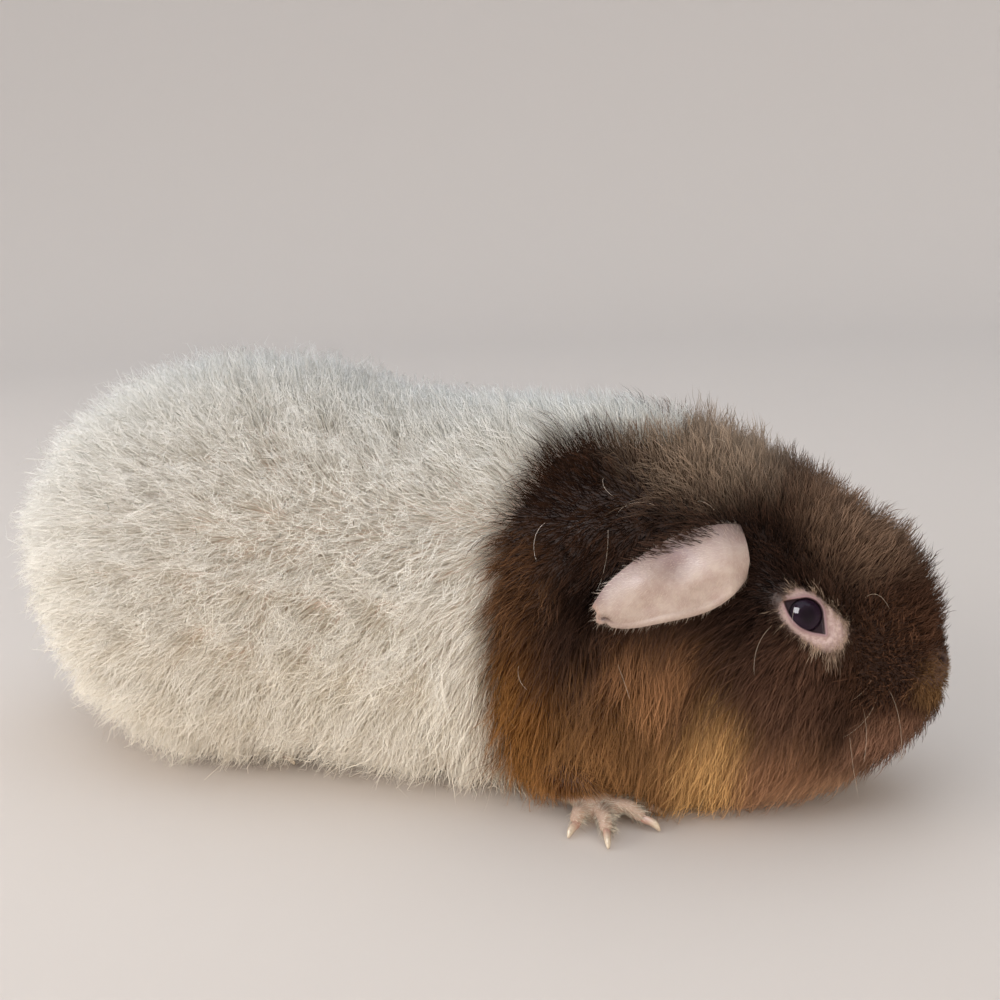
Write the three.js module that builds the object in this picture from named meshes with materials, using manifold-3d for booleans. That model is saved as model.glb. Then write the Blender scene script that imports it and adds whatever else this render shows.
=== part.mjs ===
// A plush-coated guinea pig, crouching with its chin low, at life size.
//
// Millimetres, +X towards the nose, +Y to the animal's left, +Z up, with the floor at Z = 0.
// The outer surface of the coat is one rounded form, a smooth union of masses: rump, ribcage,
// belly, neck, skull, muzzle, jowls, haunches and shoulders. It is lofted as a closed net of
// rings and parted by thin cuts into head, neck, trunk and legs. Ears, eyes, feet and claws are
// solids of their own, each with a clearance to what it grows from.
import * as THREE from "three";
import { mergeVertices } from "three/addons/utils/BufferGeometryUtils.js";
import Module from "manifold-3d";

const wasm = await Module();
wasm.setup();

// ---------------------------------------------------------------- driving dimensions
const GAP = 0.35; // clearance between neighbouring solids
const BACK_HEIGHT = 110; // floor to the tips of the coat over the hips
const RUMP_X = -157; // hindmost tips of the coat, measured from the shoulders
const NOSE_X = 111; // foremost tips of the coat
const RUMP_HALF_WIDTH = 57;
const CHEST_HALF_WIDTH = 48;
const NECK_HALF_WIDTH = 41;
const SKULL_HALF_WIDTH = 31;
const MUZZLE_HALF_WIDTH = 18;
const RINGS = { rump: 7, middle: 19, face: 9 }; // rings of the coat's net
const SECTORS = 28; // points round each ring
const EYE = { at: [79.6, 23.4, 52.8], radius: 5.3 };
const LIDS = { at: [81.4, 30.2, 54.6], half: [10, 5.2, 8], pitch: 30 }; // the bare ring's hollow
const HEAD_CUT = { x: 52, lean: 8 }; // planes that part the coat, lean in degrees
const NECK_CUT = { x: 30, lean: 14 };
const SHOULDER = { at: [19, 43, 25], half: [20, 26, 28], pitch: -10 };
const HAUNCH = { at: [-84, 50, 33], half: [42, 32, 33], pitch: 12 };

// ---------------------------------------------------------------- the masses of the body
// Each mass: centre, half sizes, nose-down pitch in degrees, softness of its blend, and
// whether it is repeated on the other side.
const MASSES = [
  { at: [RUMP_X / 2, 0, 53], half: [-RUMP_X / 2, RUMP_HALF_WIDTH, BACK_HEIGHT - 53], blend: 0 },
  { at: [-5, 0, 49], half: [76, CHEST_HALF_WIDTH, 51], blend: 14 },
  { at: [-30, 0, 26], half: [76, 47, 34], blend: 14 },
  { at: [34, 0, 52], half: [44, NECK_HALF_WIDTH, 46], blend: 12 },
  { at: [40, 0, 21], half: [40, 37, 29], blend: 12 },
  { at: [65, 0, 53], half: [31, SKULL_HALF_WIDTH, 31], pitch: 10, blend: 12 },
  { at: [86, 0, 48], half: [19, 20, 24], pitch: 34, blend: 8 },
  { at: [NOSE_X - 18, 0, 37], half: [18, MUZZLE_HALF_WIDTH, 18], pitch: 22, blend: 8 },
  { at: [NOSE_X - 18.2, 0, 29], half: [14.5, 15, 18], pitch: 20, blend: 8 },
  { at: [68, 0, 23], half: [30, 28, 26], pitch: -14, blend: 10 },
  { at: [73, 15, 36], half: [22, 15, 21], blend: 11, paired: true },
  { at: [-82, 28, 36], half: [46, 31, 38], blend: 10, paired: true },
  { at: [16, 24, 34], half: [25, 21, 31], blend: 9, paired: true },
];

const smoothMin = (a, b, k) => {
  const h = Math.max(k - Math.abs(a - b), 0);
  return Math.min(a, b) - (k > 0 ? (h * h) / (4 * k) : 0);
};

function massDistance(x, y, z, { at, half, pitch = 0 }, side) {
  const turn = THREE.MathUtils.degToRad(pitch);
  const dx = x - at[0];
  const dz = z - at[2];
  const px = dx * Math.cos(turn) - dz * Math.sin(turn);
  const pz = dx * Math.sin(turn) + dz * Math.cos(turn);
  const py = y - side * at[1];
  const near = Math.hypot(px / half[0], py / half[1], pz / half[2]);
  const slope = Math.hypot(px / half[0] ** 2, py / half[1] ** 2, pz / half[2] ** 2);
  return slope > 1e-9 ? (near * (near - 1)) / slope : -Math.min(...half);
}

function coatDistance(x, y, z) {
  let d = Infinity;
  for (const mass of MASSES) {
    for (const side of mass.paired ? [1, -1] : [1]) {
      d = smoothMin(d, massDistance(x, y, z, mass, side), mass.blend);
    }
  }
  return d;
}

// ---------------------------------------------------------------- nets of rings
// A closed skin over equal rings of points, with a pole at each end.
function closedNet(firstPole, rings, lastPole) {
  const count = rings[0].length;
  const points = [firstPole, ...rings.flat(), lastPole];
  const last = points.length - 1;
  const at = (ring, j) => 1 + ring * count + (j % count);
  const index = [];
  for (let j = 0; j < count; j++) {
    index.push(0, at(0, j + 1), at(0, j));
    index.push(last, at(rings.length - 1, j), at(rings.length - 1, j + 1));
    for (let ring = 0; ring + 1 < rings.length; ring++) {
      index.push(at(ring, j), at(ring + 1, j + 1), at(ring + 1, j));
      index.push(at(ring, j), at(ring, j + 1), at(ring + 1, j + 1));
    }
  }
  const geometry = new THREE.BufferGeometry();
  geometry.setAttribute("position", new THREE.Float32BufferAttribute(points.flat(), 3));
  geometry.setIndex(index);
  return geometry;
}

// The same net for the other side of the body.
function reflected(geometry) {
  geometry.scale(1, -1, 1);
  geometry.setIndex(Array.from(geometry.index.array).reverse());
  return geometry;
}

function solidOf(geometry) {
  const bare = geometry.clone();
  for (const name of Object.keys(bare.attributes)) {
    if (name !== "position") bare.deleteAttribute(name);
  }
  const merged = mergeVertices(bare, 1e-4);
  const mesh = new wasm.Mesh({
    numProp: 3,
    vertProperties: merged.attributes.position.array,
    triVerts: new Uint32Array(merged.index.array),
  });
  return new wasm.Manifold(mesh);
}

// ---------------------------------------------------------------- the coat's outer form
// Rays leave a core line inside the body: backwards round the rump, square to the line along
// the middle, forwards round the face. Each is followed out to the surface.
const CORE = { rump: [-88, 50], nose: [88, 37] };

function surfacePoint(t, lean, round) {
  const cx = THREE.MathUtils.lerp(CORE.rump[0], CORE.nose[0], t);
  const cz = THREE.MathUtils.lerp(CORE.rump[1], CORE.nose[1], t);
  const dir = [
    Math.cos(lean),
    Math.sin(lean) * Math.cos(round),
    Math.sin(lean) * Math.sin(round),
  ];
  let inside = 5;
  let outside = 110;
  for (let step = 0; step < 34; step++) {
    const r = (inside + outside) / 2;
    const z = cz + dir[2] * r;
    const d = Math.max(coatDistance(cx + dir[0] * r, dir[1] * r, z), -z);
    if (d < 0) inside = r;
    else outside = r;
  }
  const r = (inside + outside) / 2;
  const z = cz + dir[2] * r;
  return [cx + dir[0] * r, dir[1] * r, z < 0.01 ? 0 : z];
}

function coatForm() {
  const quarter = Math.PI / 2;
  const rays = [];
  for (let i = 1; i <= RINGS.rump; i++) rays.push([0, Math.PI - (quarter * i) / RINGS.rump]);
  for (let i = 1; i < RINGS.middle; i++) rays.push([i / RINGS.middle, quarter]);
  for (let i = RINGS.face; i >= 1; i--) rays.push([1, (quarter * i) / RINGS.face]);
  const rings = rays.map(([t, lean]) =>
    Array.from({ length: SECTORS }, (_, j) =>
      surfacePoint(t, lean, (2 * Math.PI * (j + 0.5)) / SECTORS),
    ),
  );
  return solidOf(closedNet(surfacePoint(0, Math.PI, 0), rings, surfacePoint(1, 0, 0)));
}

// ---------------------------------------------------------------- simple solids
function ellipsoid({ at, half, pitch = 0 }, side = 1, grow = 0, detail = [12, 8]) {
  const geometry = new THREE.SphereGeometry(1, ...detail);
  geometry.scale(half[0] + grow, half[1] + grow, half[2] + grow);
  geometry.rotateY(THREE.MathUtils.degToRad(pitch));
  geometry.translate(at[0], side * at[1], at[2]);
  return solidOf(geometry);
}

function block(size, at, leanDegrees = 0, pivot = [0, 0, 0]) {
  const geometry = new THREE.BoxGeometry(...size);
  geometry.translate(...at);
  geometry.rotateY(THREE.MathUtils.degToRad(leanDegrees));
  geometry.translate(...pivot);
  return solidOf(geometry);
}

// A rounded rod along a smooth curve, such as a toe or a claw. The radii run along it; "flat"
// is its height over its width, "grow" thickens it all round for a clearance.
function rod(path, radii, { flat = 1, grow = 0, rings = 3, sides = 6, blunt = 0.16 } = {}) {
  const knots = path.map((p) => new THREE.Vector3(...p));
  const first = knots[0];
  const last = knots[knots.length - 1];
  first.addScaledVector(first.clone().sub(knots[1]).normalize(), grow);
  last.addScaledVector(last.clone().sub(knots[knots.length - 2]).normalize(), grow);
  const curve = new THREE.CatmullRomCurve3(knots, false, "centripetal");
  const stations = [blunt * 0.3];
  for (let i = 0; i <= rings; i++) stations.push(blunt + ((1 - 2 * blunt) * i) / rings);
  stations.push(1 - blunt * 0.3);
  const loops = stations.map((u) => {
    const centre = curve.getPoint(u);
    const along = curve.getTangent(u);
    const across = new THREE.Vector3(0, 0, 1).cross(along).normalize();
    const upright = along.clone().cross(across);
    const slot = Math.min(u * (radii.length - 1), radii.length - 1.001);
    const k = Math.floor(slot);
    const girth = THREE.MathUtils.lerp(radii[k], radii[k + 1], slot - k) + grow;
    const reach = Math.min(u, 1 - u) / blunt;
    const radius = girth * (reach < 1 ? Math.sqrt(1 - (1 - reach) ** 2) : 1);
    return Array.from({ length: sides }, (_, j) => {
      const angle = (2 * Math.PI * (j + 0.5)) / sides;
      return centre
        .clone()
        .addScaledVector(across, radius * Math.cos(angle))
        .addScaledVector(upright, radius * flat * Math.sin(angle))
        .toArray();
    });
  });
  return solidOf(closedNet(first.toArray(), loops, last.toArray()));
}

const union = (solids) => solids.reduce((whole, next) => whole.add(next));
const mirrored = (path, side) => path.map(([x, y, z]) => [x, side * y, z]);
const aboveFloor = block([400, 300, 200], [0, 0, 100]);

// ---------------------------------------------------------------- feet and claws
// Paths are for the left foot and are mirrored for the right. Each toe runs from the foot to
// its tip; the claw grows out of the tip and curves down to just above the floor.
const FORE_FOOT = {
  pad: { at: [33.5, 34, 3.8], half: [6.4, 5, 4.5], pitch: 8 },
  limb: [[32.5, 33.8, 5.4], [25, 33.2, 8], [14, 33, 14]],
  limbRadii: [3.9, 4.8, 6.5],
  toeRadii: [2.15, 2.0, 1.75],
  room: { path: [[33, 34.5, 3.4], [41, 33.5, 3], [53, 32.5, 2.4]], radii: [6.6, 9.6, 8.5] },
  toes: [
    [[36.5, 31.6, 4.6], [41.2, 29.6, 4.4], [44.4, 28.6, 2]],
    [[37.6, 34.2, 5], [42.4, 34.6, 5], [46, 35.2, 2.4]],
    [[35.6, 36.8, 4.8], [38, 41, 4.8], [39.4, 44, 2.2]],
    [[31.6, 37, 4.4], [31.2, 40, 4.2], [31, 42, 2]],
  ],
};
const HIND_FOOT = {
  pad: { at: [-72, 26.5, 3.4], half: [9, 5.6, 4.4], pitch: 4 },
  limb: [[-73, 26.5, 3.4], [-88, 25, 3.5], [-101, 24, 5]],
  limbRadii: [4.8, 4.2, 4.7],
  toeRadii: [2.5, 2.4, 2.0],
  room: { path: [[-70, 26.5, 3.4], [-60, 26.8, 3.2], [-44, 27, 2.6]], radii: [6.4, 9.4, 8] },
  toes: [
    [[-67, 23.6, 4.2], [-60.5, 22.4, 4.3], [-56, 22, 2.2]],
    [[-66, 26.8, 4.4], [-59, 27, 4.6], [-53.5, 27, 2.3]],
    [[-67.5, 29.6, 4.2], [-61.5, 31, 4.2], [-57.5, 31.6, 2.2]],
  ],
};
const CLAW = { length: 4.6, radii: [1.15, 0.95, 0.32], flat: 1.25 };

function clawOf(toe, side, grow = 0) {
  const [, knuckle, tip] = mirrored(toe, side);
  const along = new THREE.Vector2(tip[0] - knuckle[0], tip[1] - knuckle[1]).normalize();
  const step = (reach, z) => [tip[0] + along.x * reach, tip[1] + along.y * reach, z];
  const path = [
    step(2.4 * GAP, tip[2] + 0.2),
    step(CLAW.length * 0.55, tip[2] + 0.1),
    step(CLAW.length * 0.85, 0.62),
  ];
  return rod(path, CLAW.radii, { flat: CLAW.flat, grow, rings: 2, sides: 5, blunt: 0.12 });
}

const toesOf = (foot, side, grow = 0) =>
  foot.toes.map((toe) => rod(mirrored(toe, side), foot.toeRadii, { grow, rings: 2 }));

function footOf(foot, side) {
  const shapes = [ellipsoid(foot.pad, side, 0, [8, 6]), ...toesOf(foot, side)];
  if (foot === HIND_FOOT) shapes.push(rod(mirrored(foot.limb, side), foot.limbRadii));
  return union(shapes).intersect(aboveFloor);
}

// The hollow a foot stands in: close round the foot itself, one wide mouth round the toes.
function footRoom(foot, side) {
  const shapes = [ellipsoid(foot.pad, side, GAP, [8, 6])];
  shapes.push(rod(mirrored(foot.room.path, side), foot.room.radii, { flat: 0.85, rings: 2 }));
  if (foot === HIND_FOOT) shapes.push(rod(mirrored(foot.limb, side), foot.limbRadii, { grow: GAP }));
  return union(shapes);
}

// ---------------------------------------------------------------- ears
// A drooping petal: its upper edge is rooted in the side of the head, its lower edge and tip
// hang free over the neck. Stations run from the front edge to the tip.
const EAR = {
  front: [68.2, 29.8, 66],
  tip: [38.2, 46.4, 56.7],
  down: [0.2, 0.19, -0.96],
  upper: [7.6, 9.8, 10.2, 9.8, 8.9, 7.4, 5.2, 2.4], // from the axis up to the rooted edge
  lower: [3.4, 5.8, 7.2, 7.4, 6.8, 6.3, 5.2, 2.6], // from the axis down to the free edge
  thickness: 1.4,
  bulge: 1.8, // how far the middle stands out past the edges
  tuck: 4.2, // how far the root turns in towards the skull
  rootEnd: 0.62, // the part of its length that is rooted
  curl: 2.2, // how far the front edge turns in
  stations: 9,
  across: 5,
};

function sample(values, u) {
  const slot = Math.min(Math.max(u, 0) * (values.length - 1), values.length - 1.0001);
  const k = Math.floor(slot);
  return THREE.MathUtils.lerp(values[k], values[k + 1], slot - k);
}

function earOf(side, grow = 0) {
  const front = new THREE.Vector3(...EAR.front);
  const axis = new THREE.Vector3(...EAR.tip).sub(front);
  const length = axis.length();
  axis.divideScalar(length);
  const down = new THREE.Vector3(...EAR.down);
  down.addScaledVector(axis, -down.dot(axis)).normalize();
  const out = axis.clone().cross(down);
  if (out.y < 0) out.negate();
  const place = (u, v, lift) => {
    const along = u + (2 * u - 1) * (grow / length);
    const breadth = sample(v < 0 ? EAR.upper : EAR.lower, along);
    const w = v * (breadth + grow);
    const spread = THREE.MathUtils.clamp(w / breadth, -1.12, 1.12);
    const rooted = spread < 0 ? Math.sqrt(THREE.MathUtils.clamp(1 - along / EAR.rootEnd, 0, 1)) : 0;
    const curl = EAR.curl * Math.max(0, 1 - along / 0.12);
    const rise = EAR.bulge - (EAR.bulge + EAR.tuck * rooted) * spread ** 2 - curl + lift;
    return front
      .clone()
      .addScaledVector(axis, along * length)
      .addScaledVector(down, w)
      .addScaledVector(out, rise)
      .toArray();
  };
  const half = EAR.thickness / 2 + 1.3 * grow;
  const crossing = Array.from({ length: EAR.across + 1 }, (_, j) =>
    Math.sin(Math.PI * (j / EAR.across - 0.5)),
  );
  const rings = [];
  for (let i = 0; i <= EAR.stations; i++) {
    const u = 0.015 + (0.97 * i) / EAR.stations;
    const outer = crossing.map((v) => place(u, v, half * Math.sqrt(1.12 - v * v)));
    const inner = crossing.map((v) => place(u, v, -half * Math.sqrt(1.12 - v * v)));
    rings.push([...outer, ...inner.reverse()]);
  }
  const geometry = closedNet(place(0, 0, 0), rings, place(1, 0, 0));
  return solidOf(side > 0 ? geometry : reflected(geometry));
}

// ---------------------------------------------------------------- assembly
const group = new THREE.Group();
const FINISHES = {
  white: { color: 0xd8d1c4, roughness: 0.95, metalness: 0 },
  brown: { color: 0x5a4636, roughness: 0.95, metalness: 0 },
  gold: { color: 0x8b6a43, roughness: 0.95, metalness: 0 },
  ear: { color: 0xc8b1a6, roughness: 0.75, metalness: 0 },
  eye: { color: 0x110c0b, roughness: 0.08, metalness: 0 },
  foot: { color: 0xc6bbad, roughness: 0.85, metalness: 0 },
  claw: { color: 0xd9c7ab, roughness: 0.4, metalness: 0 },
};
const solids = [];
const add = (name, solid, finish) => solids.push({ name, solid, finish });

let coat = coatForm();
for (const side of [1, -1]) {
  const hand = side > 0 ? "left" : "right";
  const eye = { at: EYE.at, half: [EYE.radius, EYE.radius, EYE.radius] };
  add(`eye_${hand}`, ellipsoid(eye, side, 0, [10, 8]), "eye");
  add(`ear_${hand}`, earOf(side), "ear");
  coat = coat.subtract(ellipsoid(LIDS, side, 0, [10, 6]));
  coat = coat.subtract(ellipsoid(eye, side, GAP, [10, 8]));
  coat = coat.subtract(earOf(side, 1.5 * GAP));

  for (const [label, foot] of [["fore", FORE_FOOT], ["hind", HIND_FOOT]]) {
    const claws = foot.toes.map((toe) => clawOf(toe, side));
    claws.forEach((claw, i) => add(`${label}_claw_${hand}_${i + 1}`, claw, "claw"));
    add(`${label}_foot_${hand}`, footOf(foot, side), "foot");
    coat = coat.subtract(footRoom(foot, side));
  }

  const { limb, limbRadii, pad } = FORE_FOOT;
  const nearFoot = union([ellipsoid(pad, side, GAP, [8, 6]), ...toesOf(FORE_FOOT, side, GAP)]);
  const forearm = rod(mirrored(limb, side), limbRadii, { sides: 8 }).subtract(nearFoot);
  add(`fore_leg_${hand}`, ellipsoid(SHOULDER, side).intersect(coat).add(forearm), "gold");
  add(`hind_leg_${hand}`, ellipsoid(HAUNCH, side).intersect(coat), "white");
  coat = coat.subtract(ellipsoid(SHOULDER, side, GAP));
  coat = coat.subtract(rod(mirrored(limb, side), limbRadii, { sides: 8, grow: GAP }));
  coat = coat.subtract(ellipsoid(HAUNCH, side, GAP));
}

// Half-spaces in front of and behind each leaning cut.
const ahead = ({ x, lean }, gap) => block([400, 300, 400], [200 + gap / 2, 0, 0], -lean, [x, 0, 50]);
const behind = ({ x, lean }, gap) => block([400, 300, 400], [-200 - gap / 2, 0, 0], -lean, [x, 0, 50]);
add("head", coat.intersect(ahead(HEAD_CUT, GAP)), "brown");
add("neck", coat.intersect(behind(HEAD_CUT, GAP)).intersect(ahead(NECK_CUT, GAP)), "brown");
add("trunk", coat.intersect(behind(NECK_CUT, GAP)), "white");

for (const { name, solid, finish } of solids) {
  const mesh = solid.getMesh();
  const geometry = new THREE.BufferGeometry();
  geometry.setAttribute("position", new THREE.BufferAttribute(mesh.vertProperties, 3));
  geometry.setIndex(new THREE.BufferAttribute(mesh.triVerts, 1));
  const node = new THREE.Mesh(geometry, new THREE.MeshStandardMaterial(FINISHES[finish]));
  node.name = name;
  group.add(node);
}

// The finished group stands centred over its own footprint, on the floor.
const bounds = new THREE.Box3().setFromObject(group);
const middle = bounds.getCenter(new THREE.Vector3());
for (const node of group.children) {
  node.geometry.translate(-middle.x, -middle.y, -bounds.min.z);
  node.geometry.computeVertexNormals();
}

export default group;
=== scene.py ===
# %% [markdown]
# A guinea pig of the plush, short-coated kind, resting on its four feet: a life-size still model.
# The imported model is the frame. It fixes the size and the place of every part, so it is loaded
# first.

# %% Load the imported frame
import math

import bpy
import numpy as np
from mathutils import Matrix, Vector
from mathutils.bvhtree import BVHTree
from mathutils.kdtree import KDTree


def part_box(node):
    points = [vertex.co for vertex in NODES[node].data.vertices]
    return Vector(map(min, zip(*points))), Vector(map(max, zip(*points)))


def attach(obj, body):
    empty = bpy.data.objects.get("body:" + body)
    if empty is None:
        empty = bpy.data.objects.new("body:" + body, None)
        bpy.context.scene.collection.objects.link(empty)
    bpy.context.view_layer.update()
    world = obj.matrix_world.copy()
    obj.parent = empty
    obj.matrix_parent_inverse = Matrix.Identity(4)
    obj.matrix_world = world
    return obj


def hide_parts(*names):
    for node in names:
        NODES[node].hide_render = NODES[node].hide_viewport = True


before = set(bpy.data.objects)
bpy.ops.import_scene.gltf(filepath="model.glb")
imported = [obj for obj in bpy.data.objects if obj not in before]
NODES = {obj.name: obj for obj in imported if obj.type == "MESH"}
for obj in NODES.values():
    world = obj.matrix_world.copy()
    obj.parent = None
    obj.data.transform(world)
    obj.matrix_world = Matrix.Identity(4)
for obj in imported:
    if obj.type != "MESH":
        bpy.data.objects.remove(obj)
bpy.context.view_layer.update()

MM = 0.001
HANDS = {1: "left", -1: "right"}  # the two sides, by the sign of y

# %% [markdown]
# The camera stands on the animal's right side, a little in front of it and a little above its
# back, and is rolled by a small angle. It is turned by three angles, so that each can be checked
# and changed on its own.

# %% Camera
AZIMUTH, PITCH, ROLL = (math.radians(a) for a in (24.0, 12.7, 2.5))
CAMERA_AT = Vector((146.1, -285.0, 140.0)) * MM
LENS, SENSOR = 43.2, 36.0  # mm


def make_camera(place):
    ahead = Vector((-math.sin(AZIMUTH), math.cos(AZIMUTH), 0))
    across = Vector((math.cos(AZIMUTH), math.sin(AZIMUTH), 0))
    up = Vector((0, 0, 1))
    sight = ahead * math.cos(PITCH) - up * math.sin(PITCH)
    down = -(ahead * math.sin(PITCH) + up * math.cos(PITCH))
    local_x = across * math.cos(ROLL) + down * math.sin(ROLL)
    local_y = across * math.sin(ROLL) - down * math.cos(ROLL)
    camera = bpy.data.objects.new("camera", bpy.data.cameras.new("camera"))
    camera.data.lens, camera.data.sensor_width = LENS, SENSOR
    camera.data.clip_start, camera.data.clip_end = 0.01, 20
    turn = Matrix((local_x, local_y, -sight)).transposed().to_4x4()
    camera.matrix_world = Matrix.Translation(place) @ turn
    bpy.context.scene.collection.objects.link(camera)
    bpy.context.scene.camera = camera
    return camera


camera = make_camera(CAMERA_AT)
print("camera at", [round(c, 4) for c in camera.location])

# %% [markdown]
# The stage is a plain pale floor that bends up into a wall all round, so that no horizon shows,
# like the paper roll of a studio. It is a grid whose points are lifted by how far out they are.
# The light is that of an overcast day: a strong even sky, a little blue, and two broad low lamps
# that reach under the flanks. Soft light from all round makes a coat look like down, where a
# small lamp would make it look like wire. The eyes mirror a window: a lamp that shows only in
# reflections. The low lamps show in none, so that a wet eye holds a single highlight.

# %% Stage and light
FLOOR_COLOUR = (0.62, 0.55, 0.50, 1)
SKY, SKY_STRENGTH = (0.76, 0.88, 1.0, 1), 1.74
# name, place m, size m, watts, colour, whether it lights things or is mirrored in them
LAMPS = [
    ("low_left", (-0.95, -0.75, 0.14), 1.3, 20, (1.0, 0.98, 0.94), "lights"),
    ("low_right", (0.70, -1.00, 0.18), 1.3, 14, (1.0, 0.91, 0.79), "lights"),
    ("window", (-0.24, -0.74, 0.63), 0.5, 28, (1.0, 0.99, 1.0), "mirrored"),
]
LAMP_AIM = Vector((0, 0, 0.04))  # m: the middle of the animal
FLAT_FLOOR, STAGE_HALF, WALL_BEND = 1.2, 3.6, 1.3  # metres
WALL_CURVE = 2.4


def read_vectors(items, key):
    """One vector of every item of a mesh, as the rows of a table."""
    found = np.empty(len(items) * 3, np.float32)
    items.foreach_get(key, found)
    return found.reshape(-1, 3).astype(float)


def positions(mesh):
    return read_vectors(mesh.vertices, "co")


def normals(mesh):
    return read_vectors(mesh.vertex_normals, "vector")


def face_middles(mesh):
    return read_vectors(mesh.polygons, "center")


def set_positions(mesh, points):
    mesh.vertices.foreach_set("co", points.astype(np.float32).ravel())
    mesh.update()


def plain_material(name, colour, roughness):
    material = bpy.data.materials.new(name)
    material.use_nodes = True
    shader = material.node_tree.nodes["Principled BSDF"]
    shader.inputs["Base Color"].default_value = colour
    shader.inputs["Roughness"].default_value = roughness
    return material


def make_floor(material):
    bpy.ops.object.select_all(action="DESELECT")
    bpy.ops.mesh.primitive_grid_add(x_subdivisions=96, y_subdivisions=96, size=2 * STAGE_HALF)
    floor = bpy.context.object
    floor.name = "floor"
    points = positions(floor.data)
    out = np.maximum(np.hypot(points[:, 0], points[:, 1]) - FLAT_FLOOR, 0)
    points[:, 2] = (out / WALL_BEND) ** WALL_CURVE
    set_positions(floor.data, points)
    bpy.ops.object.shade_smooth()
    floor.data.materials.append(material)


def soft_lamp(name, place, size, watts, colour, use):
    lamp = bpy.data.objects.new(name, bpy.data.lights.new(name, "AREA"))
    lamp.data.shape, lamp.data.size = "DISK" if use == "lights" else "SQUARE", size
    lamp.data.energy, lamp.data.color = watts, colour
    lamp.visible_diffuse, lamp.visible_glossy = use == "lights", use == "mirrored"
    lamp.location = place
    lamp.rotation_mode = "QUATERNION"
    lamp.rotation_quaternion = (LAMP_AIM - Vector(place)).to_track_quat("-Z", "Y")
    bpy.context.scene.collection.objects.link(lamp)


def set_sky(colour, strength):
    world = bpy.data.worlds.new("studio")
    world.use_nodes = True
    sky = world.node_tree.nodes["Background"]
    sky.inputs["Color"].default_value = colour
    sky.inputs["Strength"].default_value = strength
    bpy.context.scene.world = world


make_floor(plain_material("pale_floor", FLOOR_COLOUR, 0.9))
for lamp in LAMPS:
    soft_lamp(*lamp)
set_sky(SKY, SKY_STRENGTH)
bpy.context.scene.view_settings.view_transform = "Standard"
print("stage:", 2 * STAGE_HALF, "m across,", len(LAMPS), "lamps")

# %% [markdown]
# An eye is described in a frame of its own: o looks out of the head, f runs along the slit
# between the lids from its upper rear corner to its lower front corner, and g crosses it, up
# and forward. The bare ring, the lids, the eyeball and the hair round them all use it. The ring
# is a long egg that reaches further to the front than to the back.

# %% The eyes' own frames
EYE_OUT = Vector((0.43, 0.86, 0.27)).normalized()
EYE_SLIT = Vector((0.745, -0.19, -0.64))
RING_MIDDLE, RING_HALF = (2.6, 0.3, 0.0), (8.5, 4.9, 13.0)  # mm along f, g and o


def middle_of(node):
    low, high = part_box(node)
    return (low + high) / 2


def eye_frame(side):
    """Origin, and rows f, g, o, for the left eye (side 1) or the right eye (side -1)."""
    flip = Vector((1, side, 1))
    out = EYE_OUT * flip
    slit = EYE_SLIT * flip
    slit = (slit - out * slit.dot(out)).normalized()
    cross = slit.cross(out) * side
    at = middle_of(f"eye_{HANDS[side]}")
    return np.array(at), np.array([slit, cross, out])


EYES = {side: eye_frame(side) for side in HANDS}
EYE_RADIUS = max(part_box("eye_left")[1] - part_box("eye_left")[0]) / 2


def in_eye_frame(points, side):
    """Points as (along the slit, across it, outwards) from the eyeball's middle, in mm."""
    at, rows = EYES[side]
    return (points - at) @ rows.T / MM


def ring_share(points):
    """0 in the middle of the bare ring of the nearer eye, 1 at the ring's edge."""
    shares = [np.abs(in_eye_frame(points, side) - RING_MIDDLE) / RING_HALF for side in EYES]
    return np.minimum(*((share**3).sum(axis=1) ** (1 / 3) for share in shares))


print("eye radius in mm:", round(EYE_RADIUS / MM, 2), "middle", [round(c / MM, 1) for c in EYES[1][0]])

# %% [markdown]
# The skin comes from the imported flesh. Head, neck, trunk and legs are joined and remeshed into
# one closed form, which is the outline of the coat. The hollows that the feet stand in are
# filled by an ellipsoid each, since the fur of the belly closes over the feet there. A voxel
# remesh is the way to weld overlapping solids without a seam, and a Smooth modifier takes its
# stair steps away.

# %% Join the flesh
LIMBS = [(end, hand) for end in ("fore", "hind") for hand in HANDS.values()]
FLESH = ["head", "neck", "trunk"] + [f"{end}_leg_{hand}" for end, hand in LIMBS]
FLESH_GROW = 0.3 * MM  # so that neighbours overlap a little and weld
COAT_VOXEL = 1.9 * MM
PLUGS = [((61, 22, 12), (23, 15, 11)), ((-50, 23, 12), (38, 21, 11))]  # mm: middle, half sizes
SOCKET = (11, 9, 4.0)  # mm: what the skin round an eye rests on, along f, g and o


def select_only(piece):
    if bpy.context.mode != "OBJECT":
        bpy.ops.object.mode_set(mode="OBJECT")
    bpy.ops.object.select_all(action="DESELECT")
    piece.hide_set(False)
    piece.select_set(True)
    bpy.context.view_layer.objects.active = piece


def merged_copy(node, name, grow=0.0):
    """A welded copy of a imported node, swollen by grow."""
    copy = bpy.data.objects.new(name, NODES[node].data.copy())
    bpy.context.scene.collection.objects.link(copy)
    copy.data.materials.clear()
    select_only(copy)
    bpy.ops.object.mode_set(mode="EDIT")
    bpy.ops.mesh.select_all(action="SELECT")
    bpy.ops.mesh.remove_doubles(threshold=0.01 * MM)
    if grow:
        bpy.ops.transform.shrink_fatten(value=grow)
    bpy.ops.object.mode_set(mode="OBJECT")
    return copy


def face_outwards(piece):
    select_only(piece)
    bpy.ops.object.mode_set(mode="EDIT")
    bpy.ops.mesh.select_all(action="SELECT")
    bpy.ops.mesh.normals_make_consistent(inside=False)
    bpy.ops.object.mode_set(mode="OBJECT")


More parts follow.
